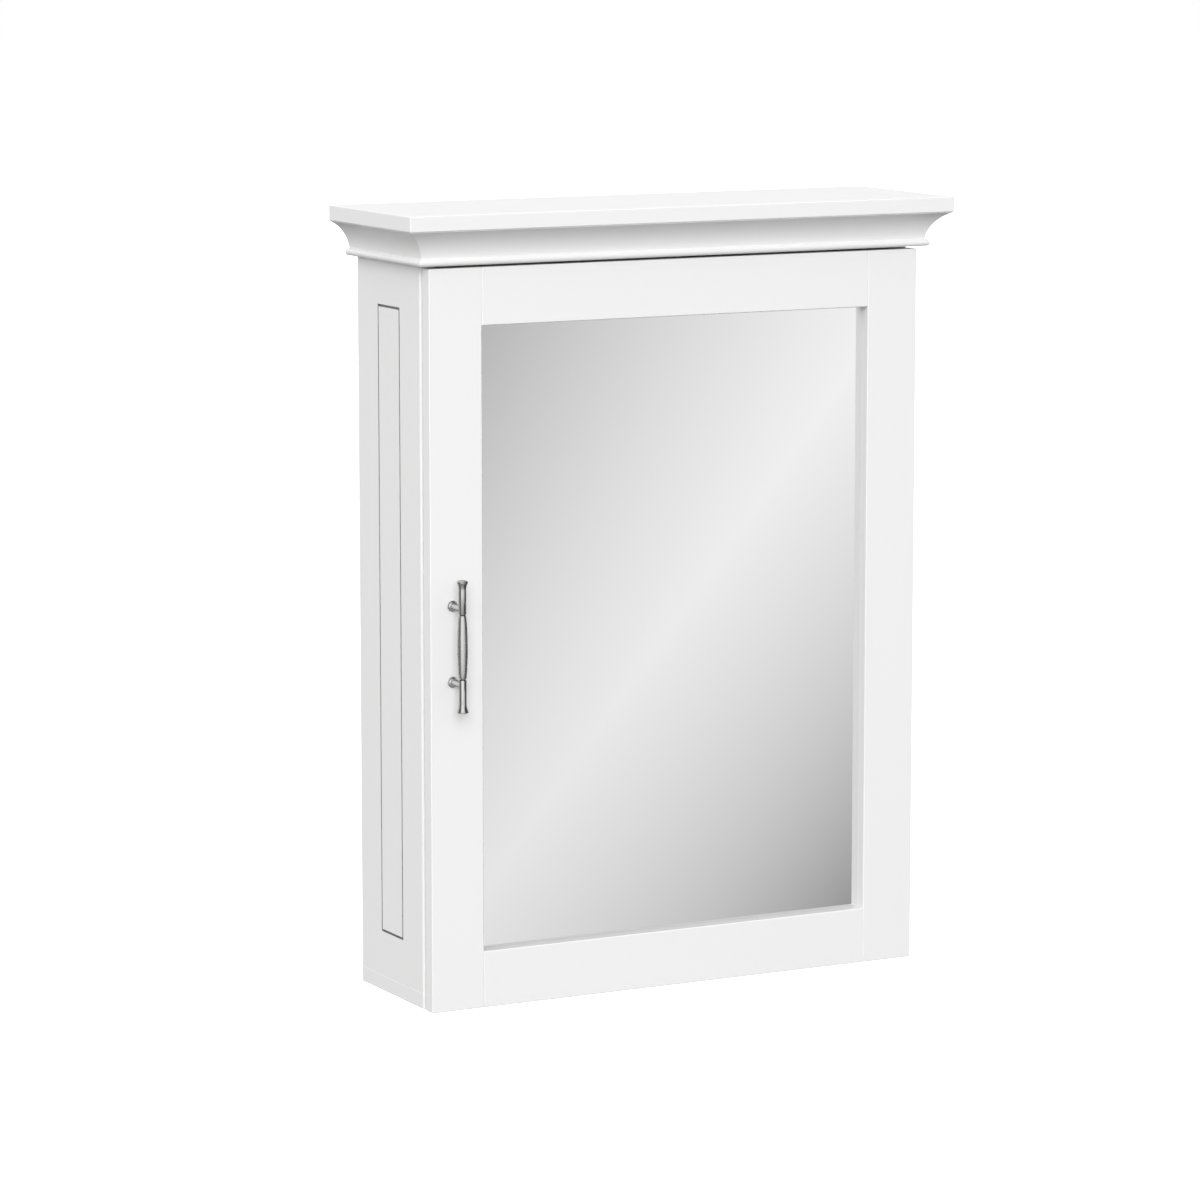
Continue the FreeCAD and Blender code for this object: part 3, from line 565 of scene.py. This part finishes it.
# ======================== repeated fittings, by Geometry Nodes
def scatter_tree():
    """Geometry Nodes: set a fitting on every point, facing its own way, turned at random about its axis."""
    tree = bpy.data.node_groups.new("set_fittings", "GeometryNodeTree")
    interface = tree.interface
    interface.new_socket("Places", in_out="INPUT", socket_type="NodeSocketGeometry")
    for name, kind in (("Fitting", "NodeSocketObject"), ("Finish", "NodeSocketMaterial"),
                       ("Most turn", "NodeSocketFloat"), ("Seed", "NodeSocketInt")):
        interface.new_socket(name, in_out="INPUT", socket_type=kind)
    interface.new_socket("Fittings", in_out="OUTPUT", socket_type="NodeSocketGeometry")
    maker = Maker(tree)
    given = maker.add("NodeGroupInput").outputs
    model = maker.add("GeometryNodeObjectInfo", {"transform_space": "ORIGINAL"}, Object=given["Fitting"])
    facing = maker.add("GeometryNodeInputNamedAttribute", {"data_type": "FLOAT_VECTOR"}, Name="facing")
    turn = maker.add("FunctionNodeAlignRotationToVector", {"axis": "Z"}, Vector=facing.outputs["Attribute"])
    placed = maker.add("GeometryNodeInstanceOnPoints", None, Points=given["Places"],
                       Instance=model.outputs["Geometry"], Rotation=turn.outputs["Rotation"])
    random = maker.add("FunctionNodeRandomValue", {"data_type": "FLOAT"}, Max=given["Most turn"],
                       Seed=given["Seed"])
    spin = maker.add("ShaderNodeCombineXYZ", None, Z=random.outputs[1])
    turned_round = maker.add("GeometryNodeRotateInstances", None, Instances=placed.outputs["Instances"],
                             Rotation=spin.outputs["Vector"])
    real = maker.add("GeometryNodeRealizeInstances", None, Geometry=turned_round.outputs["Instances"])
    finished = maker.add("GeometryNodeSetMaterial", None, Geometry=real.outputs["Geometry"],
                         Material=given["Finish"])
    maker.add("NodeGroupOutput", None, Fittings=finished.outputs["Geometry"])
    return tree


def scatter(name, places, model, made, body, slot, replaced, most_turn=2 * math.pi, seed=1):
    """Set copies of a model at (point, facing) places, as one plain mesh on one body."""
    points = bpy.data.meshes.new(name + "_places")
    points.from_pydata([tuple(p) for p, _ in places], [], [])
    facing = points.attributes.new("facing", "FLOAT_VECTOR", "POINT")
    facing.data.foreach_set("vector", [c for _, f in places for c in f])
    holder = bpy.data.objects.new(name + "_places", points)
    fitting = bpy.data.objects.new(name + "_model", model)
    for made_object in (holder, fitting):
        bpy.context.scene.collection.objects.link(made_object)
    tree = bpy.data.node_groups.get("set_fittings") or scatter_tree()
    modifier = holder.modifiers.new("set_fittings", "NODES")
    modifier.node_group = tree
    given = {"Fitting": fitting, "Finish": made, "Most turn": float(most_turn), "Seed": seed}
    for item in tree.interface.items_tree:
        if item.in_out == "INPUT" and item.name in given:
            modifier[item.identifier] = given[item.name]
    graph = bpy.context.evaluated_depsgraph_get()
    mesh = bpy.data.meshes.new_from_object(holder.evaluated_get(graph), depsgraph=graph)
    mesh.name = name
    holder.modifiers.remove(modifier)
    for made_object in (holder, fitting):
        bpy.data.objects.remove(made_object)
    if not mesh.polygons:
        raise RuntimeError(f"{name} came out empty")
    return piece(name, mesh, made, body, slot, *replaced)


def recess_radius(angle, arm, half_width):
    """Distance from the middle to the edge of a cross recess."""
    quarter = math.pi / 2
    near = abs((angle + quarter / 2) % quarter - quarter / 2)
    if math.tan(near) * arm <= half_width:
        return arm / math.cos(near)
    return half_width / math.sin(near)


def ring_points(turns, radius_at, z):
    """One ring of points at a height, with a radius at each angle."""
    angles = [2 * math.pi * i / turns for i in range(turns)]
    return [(radius_at(a) * math.cos(a), radius_at(a) * math.sin(a), z) for a in angles]


def ringed_mesh(name, turns, rings, first_pole, last_pole):
    """A closed mesh through rings of points, from a pole on the axis to another."""
    points = [p for ring in rings for p in ring] + [(0, 0, first_pole), (0, 0, last_pole)]
    last = (len(rings) - 1) * turns
    faces = []
    for i in range(turns):
        j = (i + 1) % turns
        faces += [(k * turns + i, k * turns + j, (k + 1) * turns + j, (k + 1) * turns + i)
                  for k in range(len(rings) - 1)]
        faces += [(i, j, len(points) - 2), (last + i, last + j, len(points) - 1)]
    return closed_mesh(name, points, faces, 40.0)


def screw_model(name, head_radius, head_height, shank_radius, length, domed=False):
    """A cross-recessed screw, its head's top at the origin facing +Z and its point along -Z."""
    turns = 40
    arm, half_width, depth = head_radius * 0.56, head_radius * 0.13, head_height * 0.62
    soft = head_radius * 0.08
    crown = head_height * 0.35 if domed else 0.0
    rings = []

    def ring(radius, z):
        rings.append(ring_points(turns, lambda a: radius, z))

    def cross(reach, half, z):
        rings.append(ring_points(turns, lambda a: recess_radius(a, reach, half), z))

    cross(arm * 0.8, half_width * 0.6, -depth)
    cross(arm, half_width, -soft / 2)
    cross(arm + soft / 2, half_width + soft / 2, 0.0)
    ring(head_radius * 0.8, -crown * 0.55)
    ring(head_radius - soft, -crown * 0.9)
    ring(head_radius, -crown - soft)
    if domed:
        ring(head_radius, -head_height + soft)
        ring(head_radius - soft, -head_height)
    ring(shank_radius, -head_height)
    thread_start, pitch, taper = head_height + shank_radius, shank_radius * 0.9, shank_radius * 2.5
    for i in range(max(2, int((length - thread_start - taper) / pitch))):
        z = -thread_start - i * pitch
        ring(shank_radius * 0.74, z)
        ring(shank_radius, z - pitch * 0.45)
    ring(shank_radius * 0.5, -length + taper * 0.4)
    return ringed_mesh(name, turns, rings, -depth, -length)


def cam_model(name, radius, depth, slot_half_width, slot_depth):
    """A cam lock's drum: rimmed face with a cross slot, at the origin facing +Z."""
    turns, rim, arm = 48, radius * 0.12, radius * 0.62
    rings = [ring_points(turns, lambda a: recess_radius(a, arm * 0.94, slot_half_width * 0.85), -slot_depth),
             ring_points(turns, lambda a: recess_radius(a, arm, slot_half_width), -rim * 0.5)]
    for wide, z in ((radius - rim * 1.6, -rim * 0.5), (radius - rim * 1.2, 0.0), (radius - rim * 0.3, 0.0),
                    (radius, -rim * 0.3), (radius, -depth + rim), (radius - rim, -depth)):
        rings.append(ring_points(turns, lambda a, wide=wide: wide, z))
    return ringed_mesh(name, turns, rings, -slot_depth, -depth)


def screw_places(node, facing):
    """Head centres of a CAD node's screws, all facing one way."""
    return [(face_centre(low, high, facing), facing) for low, high in solids_of(node)]


def inward_places(solids):
    """Centres of the faces that look into the cabinet, of solids set in its two sides."""
    facings = [X if low.x + high.x < 0 else -X for low, high in solids]
    return [(face_centre(low, high, facing), facing) for (low, high), facing in zip(solids, facings)]


def drive(node, facing, shank_radius, head_height, made, body, seed, domed=False):
    """Replace a CAD node's plain screws by detailed ones of the same size."""
    places = screw_places(node, facing)
    low, high = solids_of(node)[0]
    size = high - low
    length = abs(size.dot(facing))
    head_radius = max(size[i] for i in range(3) if not facing[i]) / 2
    model = screw_model(node + "_model", head_radius, head_height, shank_radius, length, domed)
    return scatter(node + "_driven", places, model, made, body, "zinc_steel", [node], seed=seed)


# ======================== operators
class CABINET_OT_paint_boards(bpy.types.Operator):
    """Finish the boards, the back panel and the bare wood strips"""
    bl_idname = "cabinet.paint_boards"
    bl_label = "Paint boards"

    def execute(self, context):
        dress(white_lacquer("white_lacquer", 0.2), *BOARDS)
        dress(routed_lacquer(), *SIDES)
        dress(back_hardboard(), "back_panel")
        dress(bare_wood("pine_along", tuple(paint().pine), "X", PINE_RING), *CLEATS_ALONG)
        dress(bare_wood("pine_across", tuple(paint().pine), "Y", PINE_RING), *CLEATS_ACROSS)
        return {"FINISHED"}


class CABINET_OT_run_cornice(bpy.types.Operator):
    """Run the cornice moulding along the front and both sides, mitred at the corners"""
    bl_idname = "cabinet.run_cornice"
    bl_label = "Run cornice"

    cove_steps: bpy.props.IntProperty(name="Cove steps", description="Facets across the cove", min=8,
                                      default=40)
    bead_steps: bpy.props.IntProperty(name="Bead steps", description="Facets round the bead", min=8,
                                      default=24)

    def outline(self, bottom, top, reach):
        """The moulding's section, as (out, height) points."""
        bead, bead_out, foot_out = 3.5 * MM, 12.6 * MM, 8.5 * MM
        edge, quirk, cove_radius = 0.8 * MM, 0.7 * MM, 34.0 * MM
        start = Vector((reach, top - edge))
        foot = Vector((foot_out, bottom + 2 * bead + quirk))
        chord = foot - start
        to_centre = Vector((-chord.y, chord.x)).normalized()
        drop = math.sqrt(cove_radius ** 2 - (chord.length / 2) ** 2)
        centre = (start + foot) / 2 + to_centre * drop
        first = math.degrees(math.atan2(start.y - centre.y, start.x - centre.x))
        last = math.degrees(math.atan2(foot.y - centre.y, foot.x - centre.x))
        if last < first - 180:
            last += 360
        cove = arc(centre, cove_radius, first, last, self.cove_steps)
        bulge = arc((bead_out - bead, bottom + bead), bead, 90, -90, self.bead_steps)
        return [(0.0, bottom), (0.0, top), (reach, top)] + cove + [(foot_out, bottom + 2 * bead)] + bulge

    def execute(self, context):
        finish = white_lacquer("cornice_lacquer", 0.5)
        low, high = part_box("cornice_front")
        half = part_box("right_side_panel")[1].x
        front, wall = high.y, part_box("cornice_right")[1].y
        section = self.outline(low.z, high.z, high.x - half)
        left_end = [Vector((-half - out, front - out, z)) for out, z in section]
        right_end = [Vector((half + out, front - out, z)) for out, z in section]
        piece("cornice_front_run", loft("cornice_front_run", left_end, right_end), finish, "carcass",
              "white_lacquer", "cornice_front")
        for name, end, side in (("cornice_left", left_end, -1), ("cornice_right", right_end, 1)):
            at_wall = [Vector((side * (half + out), wall, z)) for out, z in section]
            piece(name + "_run", loft(name + "_run", end, at_wall), finish, "carcass", "white_lacquer",
                  name)
        return {"FINISHED"}


class CABINET_OT_finish_door(bpy.types.Operator):
    """Paint the door's frame, silver the mirror and finish its backing"""
    bl_idname = "cabinet.finish_door"
    bl_label = "Finish door"

    def execute(self, context):
        dress(white_lacquer("door_lacquer", 0.9), *DOOR_FRAME)
        dress(silvered_glass(), "mirror_glass")
        dress(brown_hardboard(), "mirror_backing")
        return {"FINISHED"}


class CABINET_OT_turn_handle(bpy.types.Operator):
    """Turn the handle's grip, tubes, rings and posts"""
    bl_idname = "cabinet.turn_handle"
    bl_label = "Turn handle"

    rings: bpy.props.IntProperty(name="Rings", description="Rings along each curved stretch", min=8,
                                 default=48)

    def grip(self, finish):
        low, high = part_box("handle_grip")
        centre, half, widest = (low + high) / 2, (high.z - low.z) / 2, (high.x - low.x) / 2
        slim, lip = 3.2 * MM, 0.35 * MM
        swell = widest - slim
        profile = [(-half, 0.0), (-half, slim - lip)]
        for i in range(2 * self.rings + 1):
            u = i / self.rings - 1
            fullness = max(0.0, math.cos(u * math.pi / 2)) ** handle().grip_curve
            profile.append(((half - lip) * u, slim + swell * fullness))
        profile += [(half, slim - lip), (half, 0.0)]
        mesh = turned("handle_grip_turned", profile, centre, Z, handle().turns)
        piece("handle_grip_turned", mesh, finish, "door", "satin_steel", "handle_grip")

    def tube(self, name, up, finish):
        low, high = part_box(name)
        axis = Vector(((low.x + high.x) / 2, (low.y + high.y) / 2, low.z if up > 0 else high.z))
        length, mouth = high.z - low.z, (high.x - low.x) / 2
        tube, lip, flare, rim, dome = HANDLE_TUBE, 0.45 * MM, 8.4 * MM, 0.7 * MM, 1.4 * MM
        profile = [(0.0, 0.0), (0.0, tube - lip), (lip * 0.3, tube - lip * 0.3), (lip, tube)]
        start = length - dome - rim - flare
        for i in range(self.rings + 1):
            u = i / self.rings
            profile.append((start + flare * u, tube + (mouth - tube) * u ** handle().flare_curve))
        shoulder = length - dome
        profile += [(shoulder - rim * 0.4, mouth), (shoulder, mouth - rim * 0.25)]
        dome_steps = 8
        for i in range(1, dome_steps):
            a = i / dome_steps * math.pi / 2
            profile.append((shoulder + dome * math.sin(a), (mouth - rim * 0.6) * math.cos(a)))
        profile.append((length, 0.0))
        mesh = turned(name + "_turned", profile, axis, Z * up, handle().turns)
        piece(name + "_turned", mesh, finish, "door", "chrome", name)

    def post(self, name, finish):
        low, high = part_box(name)
        wide = (high.x - low.x) / 2
        base = Vector(((low.x + high.x) / 2, high.y, (low.z + high.z) / 2))
        slim, plate, flare, tube = 2.9 * MM, 1.3 * MM, 1.2 * MM, HANDLE_TUBE
        boss, boss_end = 4.2 * MM, 2.2 * MM
        grip_low, grip_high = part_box("handle_grip")
        bar = high.y - (grip_low.y + grip_high.y) / 2
        soft = 0.3 * MM
        profile = [(0.0, 0.0), (0.0, wide - soft), (soft * 0.4, wide - soft * 0.2), (soft, wide),
                   (plate - soft, wide), (plate - soft * 0.3, wide - soft * 0.3), (plate, wide - soft),
                   (plate, boss + soft * 0.3), (plate + soft * 0.3, boss), (boss_end - soft, boss),
                   (boss_end - soft * 0.3, boss - soft * 0.3)]
        for i in range(self.rings // 2 + 1):
            u = i / (self.rings // 2)
            profile.append((boss_end + flare * u, slim + (boss - soft - slim) * (1 - u) ** 2))
        profile += [(bar - tube, slim), (bar - tube, 0.0)]
        saddle = len(profile) - 2

        def reach(place, distance, offset):
            if place != saddle:
                return distance
            return bar - math.sqrt(max(0.0, tube ** 2 - offset.x ** 2))

        mesh = turned(name + "_turned", profile, base, -Y, handle().turns, reach)
        piece(name + "_turned", mesh, finish, "door", "chrome", name)

    def execute(self, context):
        chrome = polished_chrome()
        self.grip(satin_steel())
        self.tube("handle_upper_tube", 1, chrome)
        self.tube("handle_lower_tube", -1, chrome)
        for name in ("handle_upper_post", "handle_lower_post"):
            self.post(name, chrome)
        dress(moulded("black_ring", (0.02, 0.02, 0.02), 0.2), "handle_neck_rings")
        return {"FINISHED"}


class CABINET_OT_dress_fittings(bpy.types.Operator):
    """Finish the hinges, the catch, the dowels, the bolts and the bumpers"""
    bl_idname = "cabinet.dress_fittings"
    bl_label = "Dress fittings"

    def execute(self, context):
        nickel = plated("hinge_nickel", (0.60, 0.58, 0.54), 0.24, 30.0)
        for place in ("lower", "upper"):
            dress(nickel, *(f"{place}_hinge_{part}" for part in ("carcass_leaf", "door_leaf", "pin")))
        strike = plated("strike_zinc", (0.62, 0.64, 0.66), 0.30, 60.0)
        dress(strike, "strike_plate", "catch_pole_plates", "cam_bolts")
        dress(moulded("catch_plastic", (0.80, 0.80, 0.78), 0.42), "catch_housing")
        dress(moulded("ferrite", (0.035, 0.035, 0.04), 0.5), "catch_magnet")
        dress(moulded("clear_rubber", (0.78, 0.80, 0.80), 0.25, Transmission_Weight=0.55), "door_bumpers")
        dress(bare_wood("beech", (0.56, 0.35, 0.19), "Z", BEECH_RING), "carcass_dowels", "door_dowels")
        return {"FINISHED"}


class CABINET_OT_drive_screws(bpy.types.Operator):
    """Drive the screws, nails, shelf pins and cam locks"""
    bl_idname = "cabinet.drive_screws"
    bl_label = "Drive screws"

    def execute(self, context):
        zinc = plated("screw_zinc", (0.62, 0.64, 0.67), 0.26, 200.0)
        drive("hinge_screws_carcass", -Y, 1.7 * MM, 1.5 * MM, zinc, "carcass", 3)
        drive("hinge_screws_door", Y, 1.7 * MM, 1.5 * MM, zinc, "door", 5)
        drive("backing_screws", Y, 1.3 * MM, 1.4 * MM, zinc, "door", 7)
        drive("strike_screw", Y, 1.5 * MM, 1.2 * MM, zinc, "door", 11)
        drive("catch_screws", X, 1.5 * MM, 1.2 * MM, zinc, "carcass", 13)
        drive("cap_screws", -Z, 2.0 * MM, 2.4 * MM, zinc, "carcass", 17)
        drive("handle_screws", Y, 2.0 * MM, 2.2 * MM, zinc, "door", 19, domed=True)
        self.nails(zinc)
        self.pins(plated("pin_steel", (0.64, 0.64, 0.64), 0.22, 150.0))
        self.cams(plated("cast_zinc", (0.42, 0.43, 0.44), 0.45, 260.0, 0.18))
        return {"FINISHED"}

    def nails(self, finish):
        low, high = solids_of("back_panel_nails")[0]
        length, head = high.y - low.y, (high.x - low.x) / 2
        shank, thick = 0.8 * MM, 0.6 * MM
        profile = [(0.0, 0.0), (-0.02 * MM, head * 0.35), (-0.06 * MM, head * 0.8), (-0.2 * MM, head),
                   (-thick, head * 0.97), (-thick * 1.3, shank), (-length + 2.5 * MM, shank), (-length, 0.0)]
        model = turned("nail_model", profile, Vector((0, 0, 0)), Z, 20)
        scatter("back_panel_nails_driven", screw_places("back_panel_nails", Y), model, finish, "carcass",
                "zinc_steel", ["back_panel_nails"], seed=23)

    def pins(self, finish):
        solids = solids_of("shelf_pins")
        low, high = solids[0]
        length = high.x - low.x
        stem, collar, thick, proud, soft = 2.5 * MM, 3.5 * MM, 0.8 * MM, 8.0 * MM, 0.4 * MM
        profile = [(0.0, 0.0), (0.0, stem - soft), (-soft * 0.3, stem - soft * 0.3), (-soft, stem),
                   (-proud + thick, stem), (-proud + thick, collar - soft),
                   (-proud + thick - soft / 2, collar), (-proud, collar), (-proud, stem),
                   (-length + soft, stem), (-length, stem - soft), (-length, 0.0)]
        model = turned("pin_model", profile, Vector((0, 0, 0)), Z, 32)
        scatter("shelf_pins_set", inward_places(solids), model, finish, "carcass", "zinc_steel",
                ["shelf_pins"], seed=29)

    def cams(self, finish):
        solids = solids_of("cam_locks")
        low, high = solids[0]
        slot_half_width, slot_depth = 0.7 * MM, 1.5 * MM
        model = cam_model("cam_model", (high.y - low.y) / 2, high.x - low.x, slot_half_width, slot_depth)
        scatter("cam_locks_turned", inward_places(solids), model, finish, "carcass", "cast_zinc",
                ["cam_locks"], seed=31)


class CABINET_OT_set_stage(bpy.types.Operator):
    """Set the camera, the pale floor and the soft studio light"""
    bl_idname = "cabinet.set_stage"
    bl_label = "Set stage"

    def camera(self, settings):
        data = bpy.data.cameras.new("cabinet_camera")
        data.lens, data.sensor_width = settings.lens, 36.0
        data.clip_start, data.clip_end = 0.1, 200.0
        camera = bpy.data.objects.new("cabinet_camera", data)
        camera.location = settings.camera_place
        camera.rotation_euler = (math.pi / 2 - settings.camera_dip, 0, -settings.camera_turn)
        bpy.context.scene.collection.objects.link(camera)
        bpy.context.scene.camera = camera

    def floor(self, settings):
        radius, rim = 60.0, 96
        height = cad_low.z - settings.floor_drop
        mesh = bpy.data.meshes.new("floor")
        mesh.from_pydata(ring_points(rim, lambda a: radius, height), [], [tuple(range(rim))])
        floor = bpy.data.objects.new("floor", mesh)
        bpy.context.scene.collection.objects.link(floor)
        maker, varies = material("pale_floor", Emission_Strength=1.0)
        cloud = maker.noise(1.3, detail=2.0)
        mesh.materials.append(varies(Base_Color=maker.mix(cloud, (0.90, 0.90, 0.90), (0.93, 0.93, 0.93)),
                                     Emission_Color=maker.mix(cloud, (0.99, 0.99, 0.99), (1.0, 1.0, 1.0)),
                                     Roughness=0.8 + cloud * 0.1))
        floor.visible_diffuse = floor.visible_glossy = False

    def world(self, settings):
        """Soft light: bright above, dimmer below, with a plain white backdrop for the camera."""
        world = bpy.data.worlds.new("soft_studio")
        bpy.context.scene.world = world
        world.use_nodes = True
        world.node_tree.nodes.clear()
        maker = Maker(world.node_tree)
        direction = maker.add("ShaderNodeTexCoord").outputs["Generated"]
        height = maker.axis("Z", direction)
        sky, ground = (settings.sky,) * 3, (settings.ground,) * 3
        light = maker.ramp(height * 0.5 + 0.5, [(0.47, ground), (0.60, sky)])
        studio = maker.add("ShaderNodeBackground", None, Color=light)
        backdrop = maker.add("ShaderNodeBackground", None, Color=(1, 1, 1))
        seen = maker.add("ShaderNodeLightPath").outputs["Is Camera Ray"]
        both = maker.add("ShaderNodeMixShader", None,
                         **{"0": seen, "1": studio.outputs[0], "2": backdrop.outputs[0]})
        maker.add("ShaderNodeOutputWorld", None, Surface=both.outputs[0])

    def softbox(self, name, azimuth, elevation, distance, wide, high, power):
        """An area light that looks at the cabinet's middle and isn't seen itself."""
        data = bpy.data.lights.new(name, "AREA")
        data.shape, data.size, data.size_y = "RECTANGLE", wide, high
        data.energy = power
        light = bpy.data.objects.new(name, data)
        back = bearing_ray(azimuth, elevation)
        light.location = (cad_low + cad_high) / 2 + back * distance
        light.rotation_mode = "QUATERNION"
        light.rotation_quaternion = (-back).to_track_quat("-Z", "Y")
        light.visible_camera = light.visible_glossy = False
        bpy.context.scene.collection.objects.link(light)

    def reflected_card(self, settings):
        """A card that only the mirror's reflections see: bright along a slanting ridge, dimmer beside it."""
        low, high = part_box("mirror_glass")
        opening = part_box("door_right_stile")[0].x
        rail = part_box("door_bottom_rail")[1].z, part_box("door_top_rail")[0].z
        eye = Vector(settings.camera_place)
        eye.y = 2 * low.y - eye.y
        forward = bearing_ray(math.degrees(settings.camera_turn), -math.degrees(settings.camera_dip))
        middle = Vector((0, low.y, sum(rail) / 2))
        depth = (middle - eye).dot(forward) + settings.card_distance
        steps, spare = 24, 0.06
        width, height = 2 * opening, rail[1] - rail[0]
        points, places = [], []
        for j in range(steps + 1):
            for i in range(steps + 1):
                a, b = ((1 + 2 * spare) * k / steps - spare - 0.5 for k in (i, j))
                seen = middle + X * (a * width) + Z * (b * height)
                ray = seen - eye
                points.append(eye + ray * (depth / ray.dot(forward)))
                places.append((a * width, b * height, 0.0))
        mesh = bpy.data.meshes.new("reflected_card")
        mesh.from_pydata([tuple(p) for p in points], [], grid_faces(steps, steps))
        spot = mesh.attributes.new("spot", "FLOAT_VECTOR", "POINT")
        spot.data.foreach_set("vector", [c for place in places for c in place])
        maker, varies = material("reflected_card", Base_Color=(0, 0, 0), Emission_Strength=1.0)
        place = maker.add("ShaderNodeAttribute", {"attribute_name": "spot"}).outputs["Vector"]
        p, q = maker.axis("X", place), maker.axis("Y", place)
        slant = math.radians(50.0)
        across = p * math.sin(slant) - q * math.cos(slant)
        along = p * math.cos(slant) + q * math.sin(slant)
        ridge, rise_along = 0.838, 0.142
        before = (across * -1.0).math("MAXIMUM", across * -1.0, 0.0)
        beyond = across.math("MAXIMUM", across, 0.0)
        level = ridge - before * 0.75 - before * before * 0.96 - beyond * 1.05 - beyond ** 3.0 * 3.5
        lit = (level + along * rise_along) * (1.0 / settings.mirror_return)
        colour = maker.add("ShaderNodeCombineColor", None, Red=lit, Green=lit, Blue=lit).outputs[0]
        mesh.materials.append(varies(Emission_Color=colour))
        self.glossy_only(mesh)

    def card(self, name, colour, across, upward, distance):
        """A curved card at a distance from the cabinet that only shiny surfaces see."""
        columns, rows = 48, 64
        centre = (cad_low + cad_high) / 2
        points, strengths = [], []
        for j in range(rows + 1):
            for i in range(columns + 1):
                bearing = across[0][0] + (across[-1][0] - across[0][0]) * i / columns
                height = upward[0][0] + (upward[-1][0] - upward[0][0]) * j / rows
                points.append(centre + bearing_ray(bearing, height) * distance)
                strengths.append(eased(across, bearing) * eased(upward, height))
        mesh = bpy.data.meshes.new(name)
        mesh.from_pydata([tuple(p) for p in points], [], grid_faces(columns, rows))
        held = mesh.attributes.new("strength", "FLOAT", "POINT")
        held.data.foreach_set("value", strengths)
        maker, varies = material(name, Base_Color=(0, 0, 0), Emission_Strength=1.0)
        read = maker.add("ShaderNodeAttribute", {"attribute_name": "strength"})
        uneven = 1.0 - maker.noise(0.8, detail=1.0) * 0.06
        lit = Value(maker, read.outputs["Fac"]) * uneven
        mesh.materials.append(varies(Emission_Color=maker.mix(lit, (0, 0, 0), colour)))
        self.glossy_only(mesh)

    def glossy_only(self, mesh):
        """Put a card on the stage, hidden from everything but reflections."""
        card = bpy.data.objects.new(mesh.name, mesh)
        bpy.context.scene.collection.objects.link(card)
        card.visible_camera = card.visible_diffuse = card.visible_shadow = card.visible_transmission = False

    def execute(self, context):
        settings = stage()
        self.camera(settings)
        self.floor(settings)
        self.world(settings)
        self.reflected_card(settings)
        for name, colour, across, upward in CARDS:
            self.card(name, colour, across, upward, settings.flag_distance)
        for name, azimuth, elevation, distance, wide, high, power in SOFTBOXES:
            self.softbox(name, azimuth, elevation, distance, wide, high, power * settings.softbox_power)
        context.scene.view_settings.view_transform = "Standard"
        context.scene.view_settings.look = "None"
        return {"FINISHED"}


class CABINET_PT_panel(bpy.types.Panel):
    """Steps and sizes of the cabinet"""
    bl_idname = "CABINET_PT_panel"
    bl_label = "Wall cabinet"
    bl_space_type = "VIEW_3D"
    bl_region_type = "UI"
    bl_category = "Cabinet"

    def draw(self, context):
        for step in STEPS:
            self.layout.operator(step.bl_idname)
        for settings in (paint(), handle(), stage()):
            box = self.layout.box()
            for name in settings.bl_rna.properties.keys():
                if name not in ("rna_type", "name"):
                    box.prop(settings, name)


STEPS = (CABINET_OT_set_stage, CABINET_OT_paint_boards, CABINET_OT_run_cornice, CABINET_OT_finish_door,
         CABINET_OT_turn_handle, CABINET_OT_dress_fittings, CABINET_OT_drive_screws)
SETTINGS = {"cabinet_paint": CabinetPaint, "cabinet_handle": CabinetHandle, "cabinet_stage": CabinetStage}


def register():
    for made in (*SETTINGS.values(), *STEPS, CABINET_PT_panel):
        bpy.utils.register_class(made)
    for name, group in SETTINGS.items():
        setattr(bpy.types.Scene, name, bpy.props.PointerProperty(type=group))


def unregister():
    for name in SETTINGS:
        delattr(bpy.types.Scene, name)
    for made in (CABINET_PT_panel, *reversed(STEPS), *reversed(SETTINGS.values())):
        bpy.utils.unregister_class(made)


def main():
    register()
    for step in STEPS:
        family, name = step.bl_idname.split(".")
        getattr(getattr(bpy.ops, family), name)()


if __name__ == "__main__":
    main()
